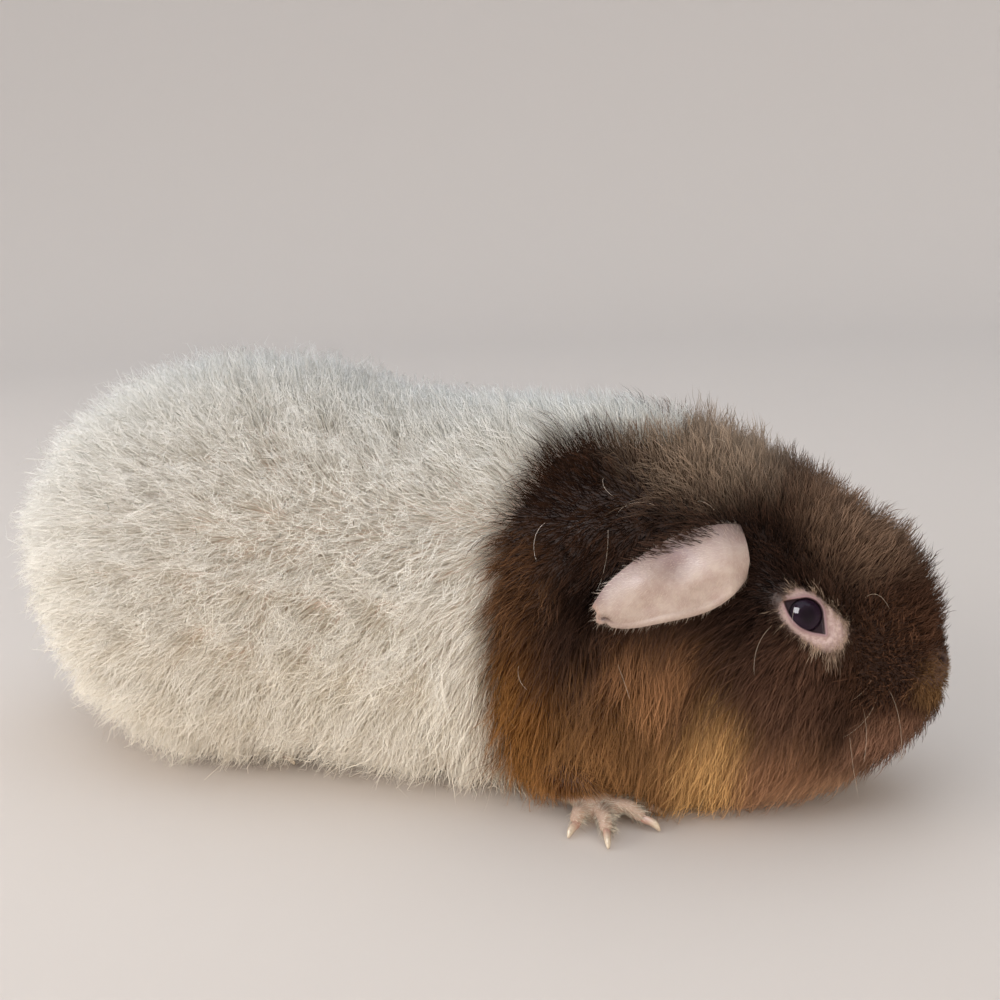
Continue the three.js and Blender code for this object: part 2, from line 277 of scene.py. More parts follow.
def ellipsoid(name, centre, half, turn=Matrix.Identity(3), segments=32):
    bpy.ops.object.select_all(action="DESELECT")
    bpy.ops.mesh.primitive_uv_sphere_add(segments=segments, ring_count=segments // 2, radius=1)
    ball = bpy.context.object
    ball.name = name
    ball.matrix_world = Matrix.Translation(centre) @ turn.to_4x4() @ Matrix.Diagonal((*half, 1))
    bpy.ops.object.transform_apply(location=True, rotation=True, scale=True)
    if turn.determinant() < 0:
        face_outwards(ball)
    return ball


def join(pieces, name):
    select_only(pieces[0])
    for piece in pieces[1:]:
        piece.select_set(True)
    bpy.ops.object.join()
    whole = bpy.context.object
    whole.name = name
    return whole


def apply_modifier(piece, kind, **settings):
    select_only(piece)
    modifier = piece.modifiers.new(kind.lower(), kind)
    for key, value in settings.items():
        setattr(modifier, key, value)
    bpy.ops.object.modifier_apply(modifier=modifier.name)


flesh = [merged_copy(node, "flesh_" + node, FLESH_GROW) for node in FLESH]
for side, (at, rows) in EYES.items():
    for (x, y, z), half in PLUGS:
        flesh.append(ellipsoid("plug", Vector((x, side * y, z)) * MM, Vector(half) * MM))
    flesh.append(ellipsoid("socket", Vector(at), Vector(SOCKET) * MM, Matrix(rows).transposed()))
coat_form = join(flesh, "coat_form")
apply_modifier(coat_form, "REMESH", mode="VOXEL", voxel_size=COAT_VOXEL)
apply_modifier(coat_form, "SMOOTH", factor=0.5, iterations=6)
print("coat form:", len(coat_form.data.vertices), "points")

# %% [markdown]
# How a coat grows changes slowly over the body, so it is written down at a few stations only,
# on one half of the animal: where the station is, how far it reaches, which way the hair lies,
# how steeply it stands off the skin, and how deep the coat is there. Every other place gets the
# average of the stations near it. The skin and each layer of hair read the same table, so they
# always agree.

# %% The growth of the coat
# place (x, |y|, z) mm, reach mm, lie (back is -x, outwards is +y), stand deg, depth mm
STATIONS = {
    "rump_end": ((-128, 0, 60), 26, (-0.3, 0.0, -1.0), 72, 11.0),
    "rump_top": ((-98, 0, 100), 26, (-1.0, 0.0, -0.1), 80, 13.0),
    "rump_side": ((-102, 44, 58), 26, (-0.9, 0.2, -0.55), 70, 11.5),
    "rump_low": ((-104, 34, 16), 20, (-0.6, 0.1, -0.8), 46, 7.5),
    "back": ((-45, 0, 109), 28, (-1.0, 0.0, 0.1), 84, 13.0),
    "withers": ((12, 0, 105), 26, (-1.0, 0.0, 0.1), 82, 12.0),
    "flank_up": ((-40, 44, 88), 26, (-0.8, 0.1, -0.5), 82, 13.0),
    "flank": ((-40, 58, 52), 26, (-0.5, 0.0, -0.8), 80, 12.5),
    "flank_low": ((-40, 48, 16), 18, (-0.25, 0.0, -1.0), 42, 9.0),
    "belly": ((-30, 8, 1), 26, (-1.0, 0.0, 0.0), 15, 4.0),
    "shoulder_up": ((22, 36, 86), 22, (-0.6, 0.1, -0.8), 78, 12.0),
    "shoulder": ((24, 47, 50), 22, (-0.25, 0.0, -1.0), 64, 11.5),
    "shoulder_low": ((26, 42, 16), 16, (-0.2, 0.0, -1.0), 32, 9.0),
    "nape": ((52, 0, 99), 18, (-1.0, 0.0, 0.1), 76, 10.5),
    "neck_up": ((60, 32, 82), 16, (-0.55, 0.1, -0.8), 60, 9.0),
    "neck": ((62, 43, 45), 18, (-0.15, 0.0, -1.0), 38, 8.5),
    "neck_low": ((64, 36, 14), 14, (-0.1, 0.0, -1.0), 24, 7.5),
    "throat": ((75, 6, 4), 16, (-0.9, 0.0, -0.2), 20, 5.0),
    "crown": ((86, 6, 88), 12, (-1.0, 0.0, 0.3), 78, 8.5),
    "brow": ((98, 20, 74), 9, (-0.8, 0.2, 0.5), 70, 6.0),
    "forehead": ((112, 4, 72), 11, (0.6, 0.0, 0.6), 76, 7.0),
    "bridge": ((126, 4, 54), 9, (0.2, 0.0, 0.9), 70, 5.2),
    "nose": ((134, 2, 37), 4, (-0.6, 0.2, 0.7), 40, 0.7),
    "snout": ((125, 15, 42), 8, (-0.8, 0.3, 0.5), 60, 3.6),
    "lip": ((127, 10, 27), 6, (-0.7, 0.1, -0.6), 44, 2.6),
    "chin": ((114, 8, 13), 9, (-0.7, 0.1, -0.6), 42, 4.4),
    "cheek": ((103, 29, 36), 10, (-0.5, 0.1, -0.8), 40, 5.2),
    "jowl": ((90, 32, 20), 11, (-0.1, 0.0, -1.0), 28, 6.6),
    "temple": ((92, 31, 58), 9, (-0.9, 0.1, -0.1), 42, 4.4),
    "forearm": ((46, 33, 9), 6, (0.2, 0.1, -1.0), 25, 2.0),
    "wrist": ((56, 34, 4), 5, (0.9, 0.1, -0.5), 25, 0.6),
}
PLACES = np.array([s[0] for s in STATIONS.values()], float)
REACHES = np.array([s[1] for s in STATIONS.values()], float)
LIES = np.array([s[2] for s in STATIONS.values()], float)
STANDS = np.radians([s[3] for s in STATIONS.values()])
DEPTHS = np.array([s[4] for s in STATIONS.values()], float)


def unit(vectors):
    return vectors / np.maximum(np.linalg.norm(vectors, axis=-1, keepdims=True), 1e-9)


def smooth(low, high, values):
    t = np.clip((values - low) / (high - low), 0, 1)
    return t * t * (3 - 2 * t)


def growth(points):
    """Lie, stand and depth of the coat at points given in metres."""
    half = points / MM
    side = np.where(half[:, 1] < 0, -1.0, 1.0)
    half[:, 1] = np.abs(half[:, 1])
    away = np.linalg.norm(half[:, None, :] - PLACES[None], axis=2) / REACHES
    weight = np.exp(-0.5 * away**2) + 1e-6 / (1 + away**2)
    weight /= weight.sum(axis=1, keepdims=True)
    lie = weight @ LIES
    lie[:, 1] *= side
    return unit(lie), weight @ STANDS, weight @ DEPTHS * MM


print("stations:", len(STATIONS))

# %% [markdown]
# The skin lies inside the coat's outline by the depth of the coat. It is found by sinking the
# coat form a little at a time, along its own normals, and smoothing after each step, so that the
# folds of the neck and flank don't turn inside out. Each point keeps the way that it sank: the
# tips of the hair will stand at the other end of it.

# %% Sink the coat form to the skin
SINK_STEPS = 6
BARE_RING, FURRED_RING = 0.95, 1.75  # shares of the ring: bare skin inside, full coat outside
RING_DEPTH = 0.6 * MM
FLOOR_DEPTH, FLOOR_SLOPE = 3.5 * MM, 0.8  # the coat may be so deep at the floor, and more above it


def coat_depth(points):
    depth = growth(points)[2]
    furred = smooth(BARE_RING, FURRED_RING, ring_share(points))
    depth = depth * furred + RING_DEPTH * (1 - furred)
    return np.minimum(depth, FLOOR_DEPTH + FLOOR_SLOPE * np.maximum(points[:, 2], 0))


def sink(piece, depth):
    for _ in range(SINK_STEPS):
        mesh = piece.data
        set_positions(mesh, positions(mesh) - normals(mesh) * (depth / SINK_STEPS)[:, None])
        apply_modifier(piece, "SMOOTH", factor=0.5, iterations=2)


def set_attribute(mesh, name, values):
    """Writes a number or a vector on every point of a mesh."""
    kind, key = ("FLOAT", "value") if np.ndim(values) == 1 else ("FLOAT_VECTOR", "vector")
    layer = mesh.attributes.new(name, kind, "POINT")
    layer.data.foreach_set(key, np.asarray(values, np.float32).ravel())


def get_attribute(mesh, name):
    layer = mesh.attributes[name]
    if layer.data_type == "FLOAT_VECTOR":
        return read_vectors(layer.data, "vector")
    found = np.empty(len(layer.data), np.float32)
    layer.data.foreach_get("value", found)
    return found.astype(float)


outline = positions(coat_form.data)
skin = coat_form
skin.name = skin.data.name = "skin"
sink(skin, coat_depth(outline))
sunk = positions(skin.data)
set_attribute(skin.data, "rise", outline - sunk)
print("coat depth in mm: mean", round(np.linalg.norm(outline - sunk, axis=1).mean() / MM, 1))

# %% [markdown]
# Lids, nostrils and mouth are too fine for the skin's mesh, so its faces are divided again near
# them, and only there. The new points take the rise of their neighbours with them. The edges of
# the lids follow the eyeball and run out into a short point at each corner of the slit.

# %% Divide the skin where it has fine folds
LID_CORNER, LID_CHORD = 5.75, -0.7  # mm: the slit's half length, and how far below the eye's middle
UPPER_BALL = 3.75  # mm: how far up the ball shows
UPPER_SLOPE, UPPER_TOUCH = 1.084, 2.76  # the upper lid runs straight from a corner to the ball
LOWER_LID = 2.15  # mm: how far the lower lid's edge arches from the slit's chord
MUZZLE_X, NOSE_X = 121.0, 126.0  # mm: where the muzzle starts, and its front


def lid_edges(along):
    """The upper and the lower edge over the places along the slit, in mm."""
    t = np.clip(along / LID_CORNER, -1, 1)
    ball = np.sqrt(np.maximum(UPPER_BALL**2 - along**2, 0))
    straight = LID_CHORD + UPPER_SLOPE * LID_CORNER * (1 - np.abs(t))
    upper = np.where(np.abs(along) < UPPER_TOUCH, ball, straight)
    lower = LID_CHORD - LOWER_LID * (1 - t**2) ** 1.25
    return upper, lower


def outside_lids(flat):
    """Distance in mm from the lids' edges, negative inside the slit."""
    along = LID_CORNER * np.sin(np.linspace(-0.5, 0.5, 70) * math.pi)
    line = np.concatenate([np.stack([along, edge], 1) for edge in lid_edges(along)])
    gap = np.linalg.norm(flat[:, None, :] - line[None], axis=2).min(axis=1)
    upper, lower = lid_edges(flat[:, 0])
    inside = (flat[:, 1] < upper) & (flat[:, 1] > lower) & (np.abs(flat[:, 0]) < LID_CORNER)
    return np.where(inside, -gap, gap)


def near_eye(points, side, reach):
    local = in_eye_frame(points, side)
    return (np.hypot(local[:, 0], local[:, 1]) < reach) & (local[:, 2] > 0)


def open_with(piece, kind, chosen):
    """Opens a piece in edit mode with only the chosen faces or points selected."""
    select_only(piece)
    bpy.ops.object.mode_set(mode="EDIT")
    bpy.ops.mesh.select_mode(type=kind)
    bpy.ops.mesh.select_all(action="DESELECT")
    bpy.ops.object.mode_set(mode="OBJECT")
    parts = piece.data.polygons if kind == "FACE" else piece.data.vertices
    parts.foreach_set("select", chosen)
    bpy.ops.object.mode_set(mode="EDIT")


def divide_faces(piece, chosen):
    """Divides the faces that chosen marks, one cut each way."""
    open_with(piece, "FACE", chosen)
    bpy.ops.mesh.subdivide(number_cuts=1, smoothness=0)
    bpy.ops.object.mode_set(mode="OBJECT")


def near_lid_edge(middles, side, reach):
    local = in_eye_frame(middles, side)
    return near_eye(middles, side, 9) & (np.abs(outside_lids(local[:, :2])) < reach)


for reach, front in ((13, MUZZLE_X), (9.5, NOSE_X)):
    middles = face_middles(skin.data)
    near = near_eye(middles, 1, reach) | near_eye(middles, -1, reach)
    divide_faces(skin, near | (middles[:, 0] > front * MM))
for reach in (1.6, 0.8):
    middles = face_middles(skin.data)
    divide_faces(skin, near_lid_edge(middles, 1, reach) | near_lid_edge(middles, -1, reach))
print("skin:", len(skin.data.polygons), "faces after dividing")

# %% [markdown]
# The lids are a height over the eye's own plane: a floor of soft tissue that the eyeball stands
# out of, a round rim that hugs the ball, and a bare ring that falls away to the skin of the head.
# A formula for that height, laid over the divided skin, keeps the whole face one skin.

# %% Lids
FAR = 99.0  # mm: stands for any place that no lid is near
TISSUE = 3.72  # mm out from the eye's middle: the floor that shows in the corners of the slit
RIM_OVER_BALL, RIM_LEAST = 0.4, 4.15
LIDS_REACH, LIDS_FADE = 11, 8.5  # mm from the eye's middle: where the lids' shape ends, and fades


def ridge(values, middle, width):
    """A round ridge of height 1 over one value."""
    return np.exp(-(((values - middle) / width) ** 2))


def lid_heights(points, side):
    """The skin's points near one eye, moved to the height of the lids."""
    local = in_eye_frame(points, side)
    flat, own = local[:, :2], local[:, 2]
    here = near_eye(points, side, LIDS_REACH)
    away = outside_lids(flat[here])
    across = np.linalg.norm(flat[here], axis=1)
    ball = np.sqrt(np.maximum((EYE_RADIUS / MM) ** 2 - across**2, 0))
    rim = np.maximum(ball + RIM_OVER_BALL, RIM_LEAST)
    ring = rim + (own[here] - rim) * smooth(0.3, 6.0, away)
    ring += 0.22 * ridge(away, 0.45, 0.35)  # the lids' swollen edge, and two creases round it
    ring -= 0.35 * ridge(away, 1.6, 0.5) + 0.2 * ridge(away, 3.1, 0.6)
    height = TISSUE + (ring - TISSUE) * smooth(-0.28, 0.22, away)
    keep = smooth(LIDS_FADE, LIDS_REACH, across)
    local[here, 2] = height + (own[here] - height) * keep
    at, rows = EYES[side]
    return at + (local * MM) @ rows, here, away


def ease_points(piece, chosen, rounds):
    """Evens out the chosen points among their neighbours."""
    open_with(piece, "VERT", chosen)
    bpy.ops.mesh.vertices_smooth(factor=0.5, repeat=rounds)
    bpy.ops.object.mode_set(mode="OBJECT")


points = positions(skin.data)
lid_distance = np.full(len(points), FAR)
for side in EYES:
    points, here, away = lid_heights(points, side)
    lid_distance[here] = np.minimum(lid_distance[here], away)
set_positions(skin.data, points)
set_attribute(skin.data, "lid", lid_distance)
eye_away = np.minimum(*(np.linalg.norm(in_eye_frame(points, side), axis=1) for side in EYES))
ease_points(skin, (eye_away > 9.5) & (eye_away < 17), 12)
ease_points(skin, lid_distance < 2.0, 2)
print("lids: points at the edges", int((np.abs(lid_distance) < 0.5).sum()))

# %% [markdown]
# From in front the nose is two slanting nostrils, a groove between them that runs down to the
# lip, and a mouth that is only a bent slit well under the nose. They are pressed into the same
# skin along its own normals. How deep a place is pressed in is kept as the attribute hollow: such
# places are painted dark, as the shade inside the openings, and carry no hair.

# %% Nostrils, lip groove and mouth
NOSTRIL = (3.0, 38.0)  # mm: out from the middle, and up
NOSTRIL_LEAN = math.radians(30)
NOSTRIL_HALF = (1.8, 0.85)  # mm: along it and across it
MOUTH_Z, MOUTH_HALF = 25.5, 8.5  # mm


def muzzle_relief(points):
    """How far each point near the nose moves along its normal, in mm."""
    x, y, z = (points / MM).T
    y = np.abs(y)
    du, dz = y - NOSTRIL[0], z - NOSTRIL[1]
    u = du * math.cos(NOSTRIL_LEAN) + dz * math.sin(NOSTRIL_LEAN)
    v = -du * math.sin(NOSTRIL_LEAN) + dz * math.cos(NOSTRIL_LEAN) - 0.12 * u * u
    away = np.hypot(u / NOSTRIL_HALF[0], v / NOSTRIL_HALF[1])
    relief = -1.6 * ridge(away, 0, 1) + 0.25 * ridge(away, 2.0, 0.6)
    groove = ridge(y, 0, 0.5) * smooth(26, 28, z) * (1 - smooth(36, 39, z))
    relief -= 0.55 * groove
    line = MOUTH_Z - 0.22 * y - 0.03 * y * y
    slit = ridge(z, line, 0.55) * (1 - smooth(MOUTH_HALF - 3, MOUTH_HALF, y))
    lips = ridge(z - line, 1.6, 1.2) * (1 - smooth(MOUTH_HALF - 2, MOUTH_HALF + 2, y))
    relief += 0.5 * lips - 1.1 * slit
    return relief * smooth(MUZZLE_X - 4, MUZZLE_X + 2, x)


points = positions(skin.data)
relief = muzzle_relief(points)
set_positions(skin.data, points + normals(skin.data) * relief[:, None] * MM)
set_attribute(skin.data, "hollow", smooth(-0.2, -0.7, relief))
print("muzzle relief in mm:", round(relief.min(), 2), "to", round(relief.max(), 2))

# %% [markdown]
# The feet are small and their toes thin, so they are remeshed on their own, three times finer,
# and joined to the skin object afterwards. Where they meet the body they run on inside it, under
# the coat, so the joint is never seen.

# %% Feet
FOOT_VOXEL = 0.55 * MM
FEET = [f"{end}_foot_{hand}" for end, hand in LIMBS]
FOREARM_FROM, FOREARM_TO = Vector((60, 34.2, 4.6)) * MM, Vector((33, 32.6, 16)) * MM
FOREARM_HALF = (15 * MM, 4.6 * MM, 5.0 * MM)
FOOT_COAT, FOREARM_MORE = 0.9, 0.9  # mm: the coat's depth on a foot, and what the forearm adds
FOREARM_LOW, FOREARM_HIGH = 7.5, 11  # mm above the floor: where the deeper coat comes in


def forearm(side):
    """The wrist and forearm that carry a fore foot up into the coat."""
    flip = Vector((1, side, 1))
    start, end = FOREARM_FROM * flip, FOREARM_TO * flip
    turn = (end - start).to_track_quat("X", "Z").to_matrix()
    return ellipsoid("forearm", (start + end) / 2, FOREARM_HALF, turn)


def fine_foot(node):
    foot = merged_copy(node, "skin_" + node)
    if node.startswith("fore"):
        foot = join([foot, forearm(1 if node.endswith("left") else -1)], foot.name)
    apply_modifier(foot, "REMESH", mode="VOXEL", voxel_size=FOOT_VOXEL)
    apply_modifier(foot, "SMOOTH", factor=0.5, iterations=8)
    mesh = foot.data
    up_arm = smooth(FOREARM_LOW, FOREARM_HIGH, positions(mesh)[:, 2] / MM)
    depth = FOOT_COAT + FOREARM_MORE * up_arm
    set_attribute(mesh, "rise", normals(mesh) * depth[:, None] * MM)
    set_attribute(mesh, "lid", np.full(len(mesh.vertices), FAR))
    return foot


feet = [fine_foot(node) for node in FEET]
body_points = len(skin.data.vertices)
skin = join([skin] + feet, "skin")
select_only(skin)
bpy.ops.object.shade_smooth()
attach(skin, "root")
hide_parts(*FLESH, *FEET)
print("skin:", len(skin.data.polygons), "faces with the feet")

# %% [markdown]
# An eyeball is a ball with the cornea standing a little out of it. The material needs to know
# how far each point is from the middle of the pupil, so that is written on the mesh.

# %% Eyeballs
CORNEA_RISE = 0.25  # mm


def eyeball(side):
    at, rows = EYES[side]
    turn = Matrix(rows).transposed()
    ball = ellipsoid(f"eyeball_{HANDS[side]}", Vector(at), (EYE_RADIUS,) * 3, turn, segments=64)
    facing = unit(positions(ball.data) - at) @ rows[2]
    lifted = positions(ball.data) + rows[2] * (CORNEA_RISE * MM * smooth(0.55, 1.0, facing))[:, None]
    set_positions(ball.data, lifted)
    set_attribute(ball.data, "pupil_angle", np.arccos(np.clip(facing, -1, 1)))
    bpy.ops.object.shade_smooth()
    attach(ball, "root")
    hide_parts(f"eye_{HANDS[side]}")
    return ball


eyeballs = [eyeball(side) for side in HANDS]
print("eyeballs:", [len(ball.data.polygons) for ball in eyeballs], "faces")

# %% [markdown]
# A guinea pig's ear is a thin drooping petal, rooted along its upper and front edges, with a
# rolled rim and a small curl at the tip. It starts as a flat grid. Each point's two grid numbers,
# along the ear and across it, are turned into a place on the petal, and a Solidify modifier gives
# it a wall.

# %% Ears
EAR_FRONT, EAR_TIP = np.array([91.2, 29.8, 66.0]), np.array([61.2, 46.4, 56.7])
EAR_DOWN = np.array([0.2, 0.19, -0.96])
UPPER_WIDTHS = (7.6, 9.6, 10.2, 9.9, 9.2, 8.2, 6.8, 4.8, 2.4)  # mm above the ear's axis
LOWER_WIDTHS = (3.8, 6.0, 7.4, 7.7, 7.1, 6.4, 6.2, 5.2, 2.9)  # mm below it
EAR_WALL = 0.8 * MM


def ear_axes():
    axis = EAR_TIP - EAR_FRONT
    length = np.linalg.norm(axis)
    axis = axis / length
    down = unit(EAR_DOWN - axis * (EAR_DOWN @ axis))
    out = np.cross(axis, down)
    return axis, length, down, out if out[1] > 0 else -out


def bump(along, across, at_along, at_across, long, wide):
    """A round swelling of height 1 at one place of the petal."""
    return np.exp(-(((along - at_along) / long) ** 2) - ((across - at_across) / wide) ** 2)


def relax_widths(values):
    """A table with its corners taken off, for a smooth outline."""
    fine = np.interp(np.linspace(0, 1, 65), np.linspace(0, 1, len(values)), values)
    for _ in range(30):
        fine[1:-1] = (fine[:-2] + fine[1:-1] + fine[2:]) / 3
    return fine


EAR_UPPER, EAR_LOWER = relax_widths(UPPER_WIDTHS), relax_widths(LOWER_WIDTHS)


def ear_surface(along, across):
    """Points of the left ear, from the front edge (0) to the tip (1), upper edge -1 to lower 1."""
    axis, length, down, out = ear_axes()
    slots = np.linspace(0, 1, len(EAR_UPPER))
    upper, lower = (np.interp(along, slots, widths) for widths in (EAR_UPPER, EAR_LOWER))
    tip_end = np.sqrt(np.clip(1 - np.clip(2 * along - 1, 0, 1) ** 7, 0, 1)) * 0.45 + 0.55
    width = np.where(across < 0, upper, lower) * tip_end
    width = width * (1 - 0.3 * bump(along, across, 0.95, 1.0, 0.02, 0.5))
    rooted = np.where(across < 0, 1 - smooth(0.15, 0.8, along), 0)
    rise = 1.7 - (1.7 + 4.6 * rooted) * np.abs(across) ** 2.2
    rise -= 2.6 * np.clip(1 - along / 0.14, 0, 1) ** 1.5
    rise -= 1.5 * bump(along, across, 0.40, -0.35, 0.13, 0.28)
    rise += 0.9 * bump(along, across, 0.62, -0.35, 0.12, 0.35)
    rise -= 0.7 * bump(along, across, 0.30, 0.45, 0.16, 0.3) + 0.5 * bump(along, across, 0.7, 0.4, 0.1, 0.25)
    rise += 0.55 * ridge(across, 0.93, 0.1) * smooth(0.05, 0.3, along)
    rise += 0.6 * np.sin(13 * along + 0.6) * across * smooth(0.2, 0.9, across)
    curl = smooth(0.86, 1.0, along)
    rise += 1.8 * curl * across**2 - 0.9 * bump(along, across, 0.95, 0.55, 0.04, 0.3)
    reach = length * (along - 0.015 * curl * (1 - across**2))
    reach += (1.9 * across - 0.9) * (1 - smooth(0, 0.35, along))
    steps = reach[:, None] * axis + (across * width)[:, None] * down + rise[:, None] * out
    return (EAR_FRONT + steps) * MM


def make_ear(side):
    bpy.ops.object.select_all(action="DESELECT")
    bpy.ops.mesh.primitive_grid_add(x_subdivisions=84, y_subdivisions=48, size=2)
    ear = bpy.context.object
    ear.name = f"petal_{HANDS[side]}"
    grid = positions(ear.data)
    petal = ear_surface((grid[:, 0] + 1) / 2, np.sin(grid[:, 1] * math.pi / 2))
    petal[:, 1] *= side
    set_positions(ear.data, petal)
    set_attribute(ear.data, "petal", grid * 0.5 + 0.5)
    face_outwards(ear)
    if (normals(ear.data)[:, 1].mean() > 0) != (side > 0):
        ear.data.flip_normals()
    apply_modifier(ear, "SOLIDIFY", thickness=EAR_WALL, offset=0)
    apply_modifier(ear, "BEVEL", width=0.26 * MM, segments=2, limit_method="ANGLE")
    apply_modifier(ear, "SMOOTH", factor=0.5, iterations=2)
    select_only(ear)
    bpy.ops.object.shade_smooth()
    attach(ear, "root")
    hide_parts(f"ear_{HANDS[side]}")
    return ear


ears = {side: make_ear(side) for side in HANDS}
print("ear:", len(ears[1].data.polygons), "faces")

# %% [markdown]
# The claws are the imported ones, welded, joined foot by foot and rounded by a Subdivision Surface
# modifier, which keeps their curve and takes the facets away.

# %% Claws
CLAW_GROW = 0.1 * MM  # what subdividing would take off
CLAW_ROOT, CLAW_DRAWN = 1.9 * MM, 0.7  # how far it runs back into its toe, and the share drawn out
CLAW_LEVEL = np.array([1, 1, 0.25])  # a claw's root lies flatter than its tip


def rooted_claw(node, foot_middle):
    """A rounded claw, drawn out at its base so that it starts inside the toe."""
    claw = merged_copy(node, node + "_round", CLAW_GROW)
    apply_modifier(claw, "SUBSURF", levels=2, render_levels=2)
    points = positions(claw.data)
    from_foot = np.linalg.norm(points - foot_middle, axis=1)
    base, tip = points[from_foot.argmin()], points[from_foot.argmax()]
    axis = unit((tip - base) * CLAW_LEVEL)
    along = (points - base) @ axis / ((tip - base) @ axis)
    points -= axis * (CLAW_ROOT * np.clip(1 - along / CLAW_DRAWN, 0, 1))[:, None]
    set_positions(claw.data, points)
    set_attribute(claw.data, "along", np.clip(along, 0, 1))
    return claw


def round_claws(foot):
    nodes = sorted(n for n in NODES if n.startswith(foot.replace("_", "_claw_")))
    foot_middle = np.array(middle_of(foot.replace("_", "_foot_")))
    claws = join([rooted_claw(n, foot_middle) for n in nodes], foot + "_claws")
    select_only(claws)
    bpy.ops.object.shade_smooth()
    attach(claws, "root")
    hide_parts(*nodes)
    return claws


claw_sets = [round_claws(f"{end}_{hand}") for end, hand in LIMBS]
print("claws:", [len(c.data.polygons) for c in claw_sets])

# %% [markdown]
# The markings are one node group, so that the skin and every piece of the coat carry the same
# ones. It works on a place on the skin: hairs pass the place of their root, and the skin its own
# coordinates. The white of the trunk meets the brown of the fore end along a seam that runs
# forward over the nape. Warmer, darker and paler patches are soft ellipsoids laid over the brown,
# one after another, with noise to fray their edges. Two of the dark ones are painted shade: under
# the tip of the ear, and in the fold over the forearm. Low down the white turns cream, partly its
# own tint and partly painted warm light from the floor, and the roots of white hairs are darker,
# partly painted shade deep in the coat. The eyes' rings and the feet are pale.

# %% Markings
def srgb(red, green, blue):
    """A colour as it is seen, from 0 to 255, as the linear colour that a shader takes."""
    parts = np.array([red, green, blue]) / 255
    linear = np.where(parts <= 0.04045, parts / 12.92, ((parts + 0.055) / 1.055) ** 2.4)
    return (*(float(c) for c in linear), 1.0)


# centre (x, |y|, z) mm, half sizes mm, colour at the root, colour at the tip, strength
PATCHES = {
    "nape_side": ((52, 34, 80), (21, 20, 21), (24, 11, 4), (57, 33, 16), 0.8),
    "crown": ((82, 10, 87), (23, 24, 15), (72, 55, 44), (190, 166, 144), 0.88),
    "forehead": ((112, 6, 70), (17, 17, 17), (52, 38, 31), (146, 118, 98), 0.9),
    "temple": ((94, 27, 64), (14, 13, 15), (17, 11, 9), (51, 35, 28), 0.95),
    "seam_side": ((39, 43, 66), (15, 14, 20), (61, 40, 25), (134, 95, 64), 0.85),
    # Nearly black under and behind the ear's tip: painted shade that the ear casts there.
    "shade_behind_ear": ((58, 42, 61), (11, 12, 13), (10, 4, 2), (24, 12, 7), 1.0),
    "below_ear": ((76, 39, 42), (20, 12, 13), (104, 71, 48), (202, 147, 103), 0.88),
    "amber_neck": ((66, 40, 10), (38, 20, 32), (97, 64, 39), (173, 127, 83), 0.88),
    "amber_seam": ((39, 45, 22), (14, 14, 34), (92, 55, 27), (157, 109, 60), 0.95),
    "amber_jowl": ((87, 34, 16), (12, 17, 25), (140, 92, 50), (226, 178, 118), 0.92),
    # Darker in the fold over the forearm: painted shade in the fold.
    "elbow_fold_shade": ((50, 44, 12), (7, 9, 7), (42, 20, 12), (96, 57, 34), 0.7),
    "cheek": ((102, 30, 36), (13, 12, 14), (47, 32, 26), (110, 80, 64), 0.8),
    "snout": ((124, 14, 42), (14, 15, 16), (41, 27, 20), (102, 72, 55), 0.9),
    "ochre_nose": ((131, 6, 34), (7, 9, 6), (96, 68, 43), (158, 121, 82), 0.75),
    "lip": ((120, 11, 24), (12, 14, 7), (84, 57, 46), (166, 125, 102), 0.8),
    "jowl": ((102, 26, 17), (14, 14, 13), (91, 62, 45), (177, 131, 99), 0.88),
    "chin": ((106, 12, 7), (22, 20, 11), (131, 92, 70), (205, 160, 127), 0.85),
    "nape_frost": ((58, 10, 99), (22, 15, 7), (70, 56, 47), (132, 112, 94), 0.4),
}
# White hairs are darker at the root: partly their own tone, partly painted shade deep in the coat.
WHITE_ROOT, WHITE_TIP = srgb(216, 209, 196), srgb(250, 247, 241)
# Low on the body the white turns cream: partly the coat's own tint, partly painted warm light thrown up from
# the floor.
CREAM_BOUNCE_LIGHT_ROOT, CREAM_BOUNCE_LIGHT_TIP = srgb(214, 197, 170), srgb(250, 241, 225)
BROWN_ROOT, BROWN_TIP = srgb(28, 18, 14), srgb(73, 53, 43)
FUZZ_ROOT, FUZZ_TIP = srgb(150, 122, 106), srgb(200, 178, 156)
FOOT_ROOT, FOOT_TIP = srgb(184, 168, 150), srgb(234, 223, 205)
PINK_SKIN, GREY_SKIN, FOOT_SKIN = srgb(222, 186, 170), srgb(92, 72, 64), srgb(172, 134, 118)
SEAM_X, SEAM_TOP, SEAM_RUN, SEAM_HALF = 32.5, 8.5, 56.0, 10.0  # mm: how far forward the seam lies
FORE_FOOT = ((60, 35, 0), (20, 15, 7.5))  # mm: centre and half sizes of the pale foot
WHITE_CONTRAST, BROWN_CONTRAST = 0.22, 0.8  # how much hairs differ in white, and what brown adds


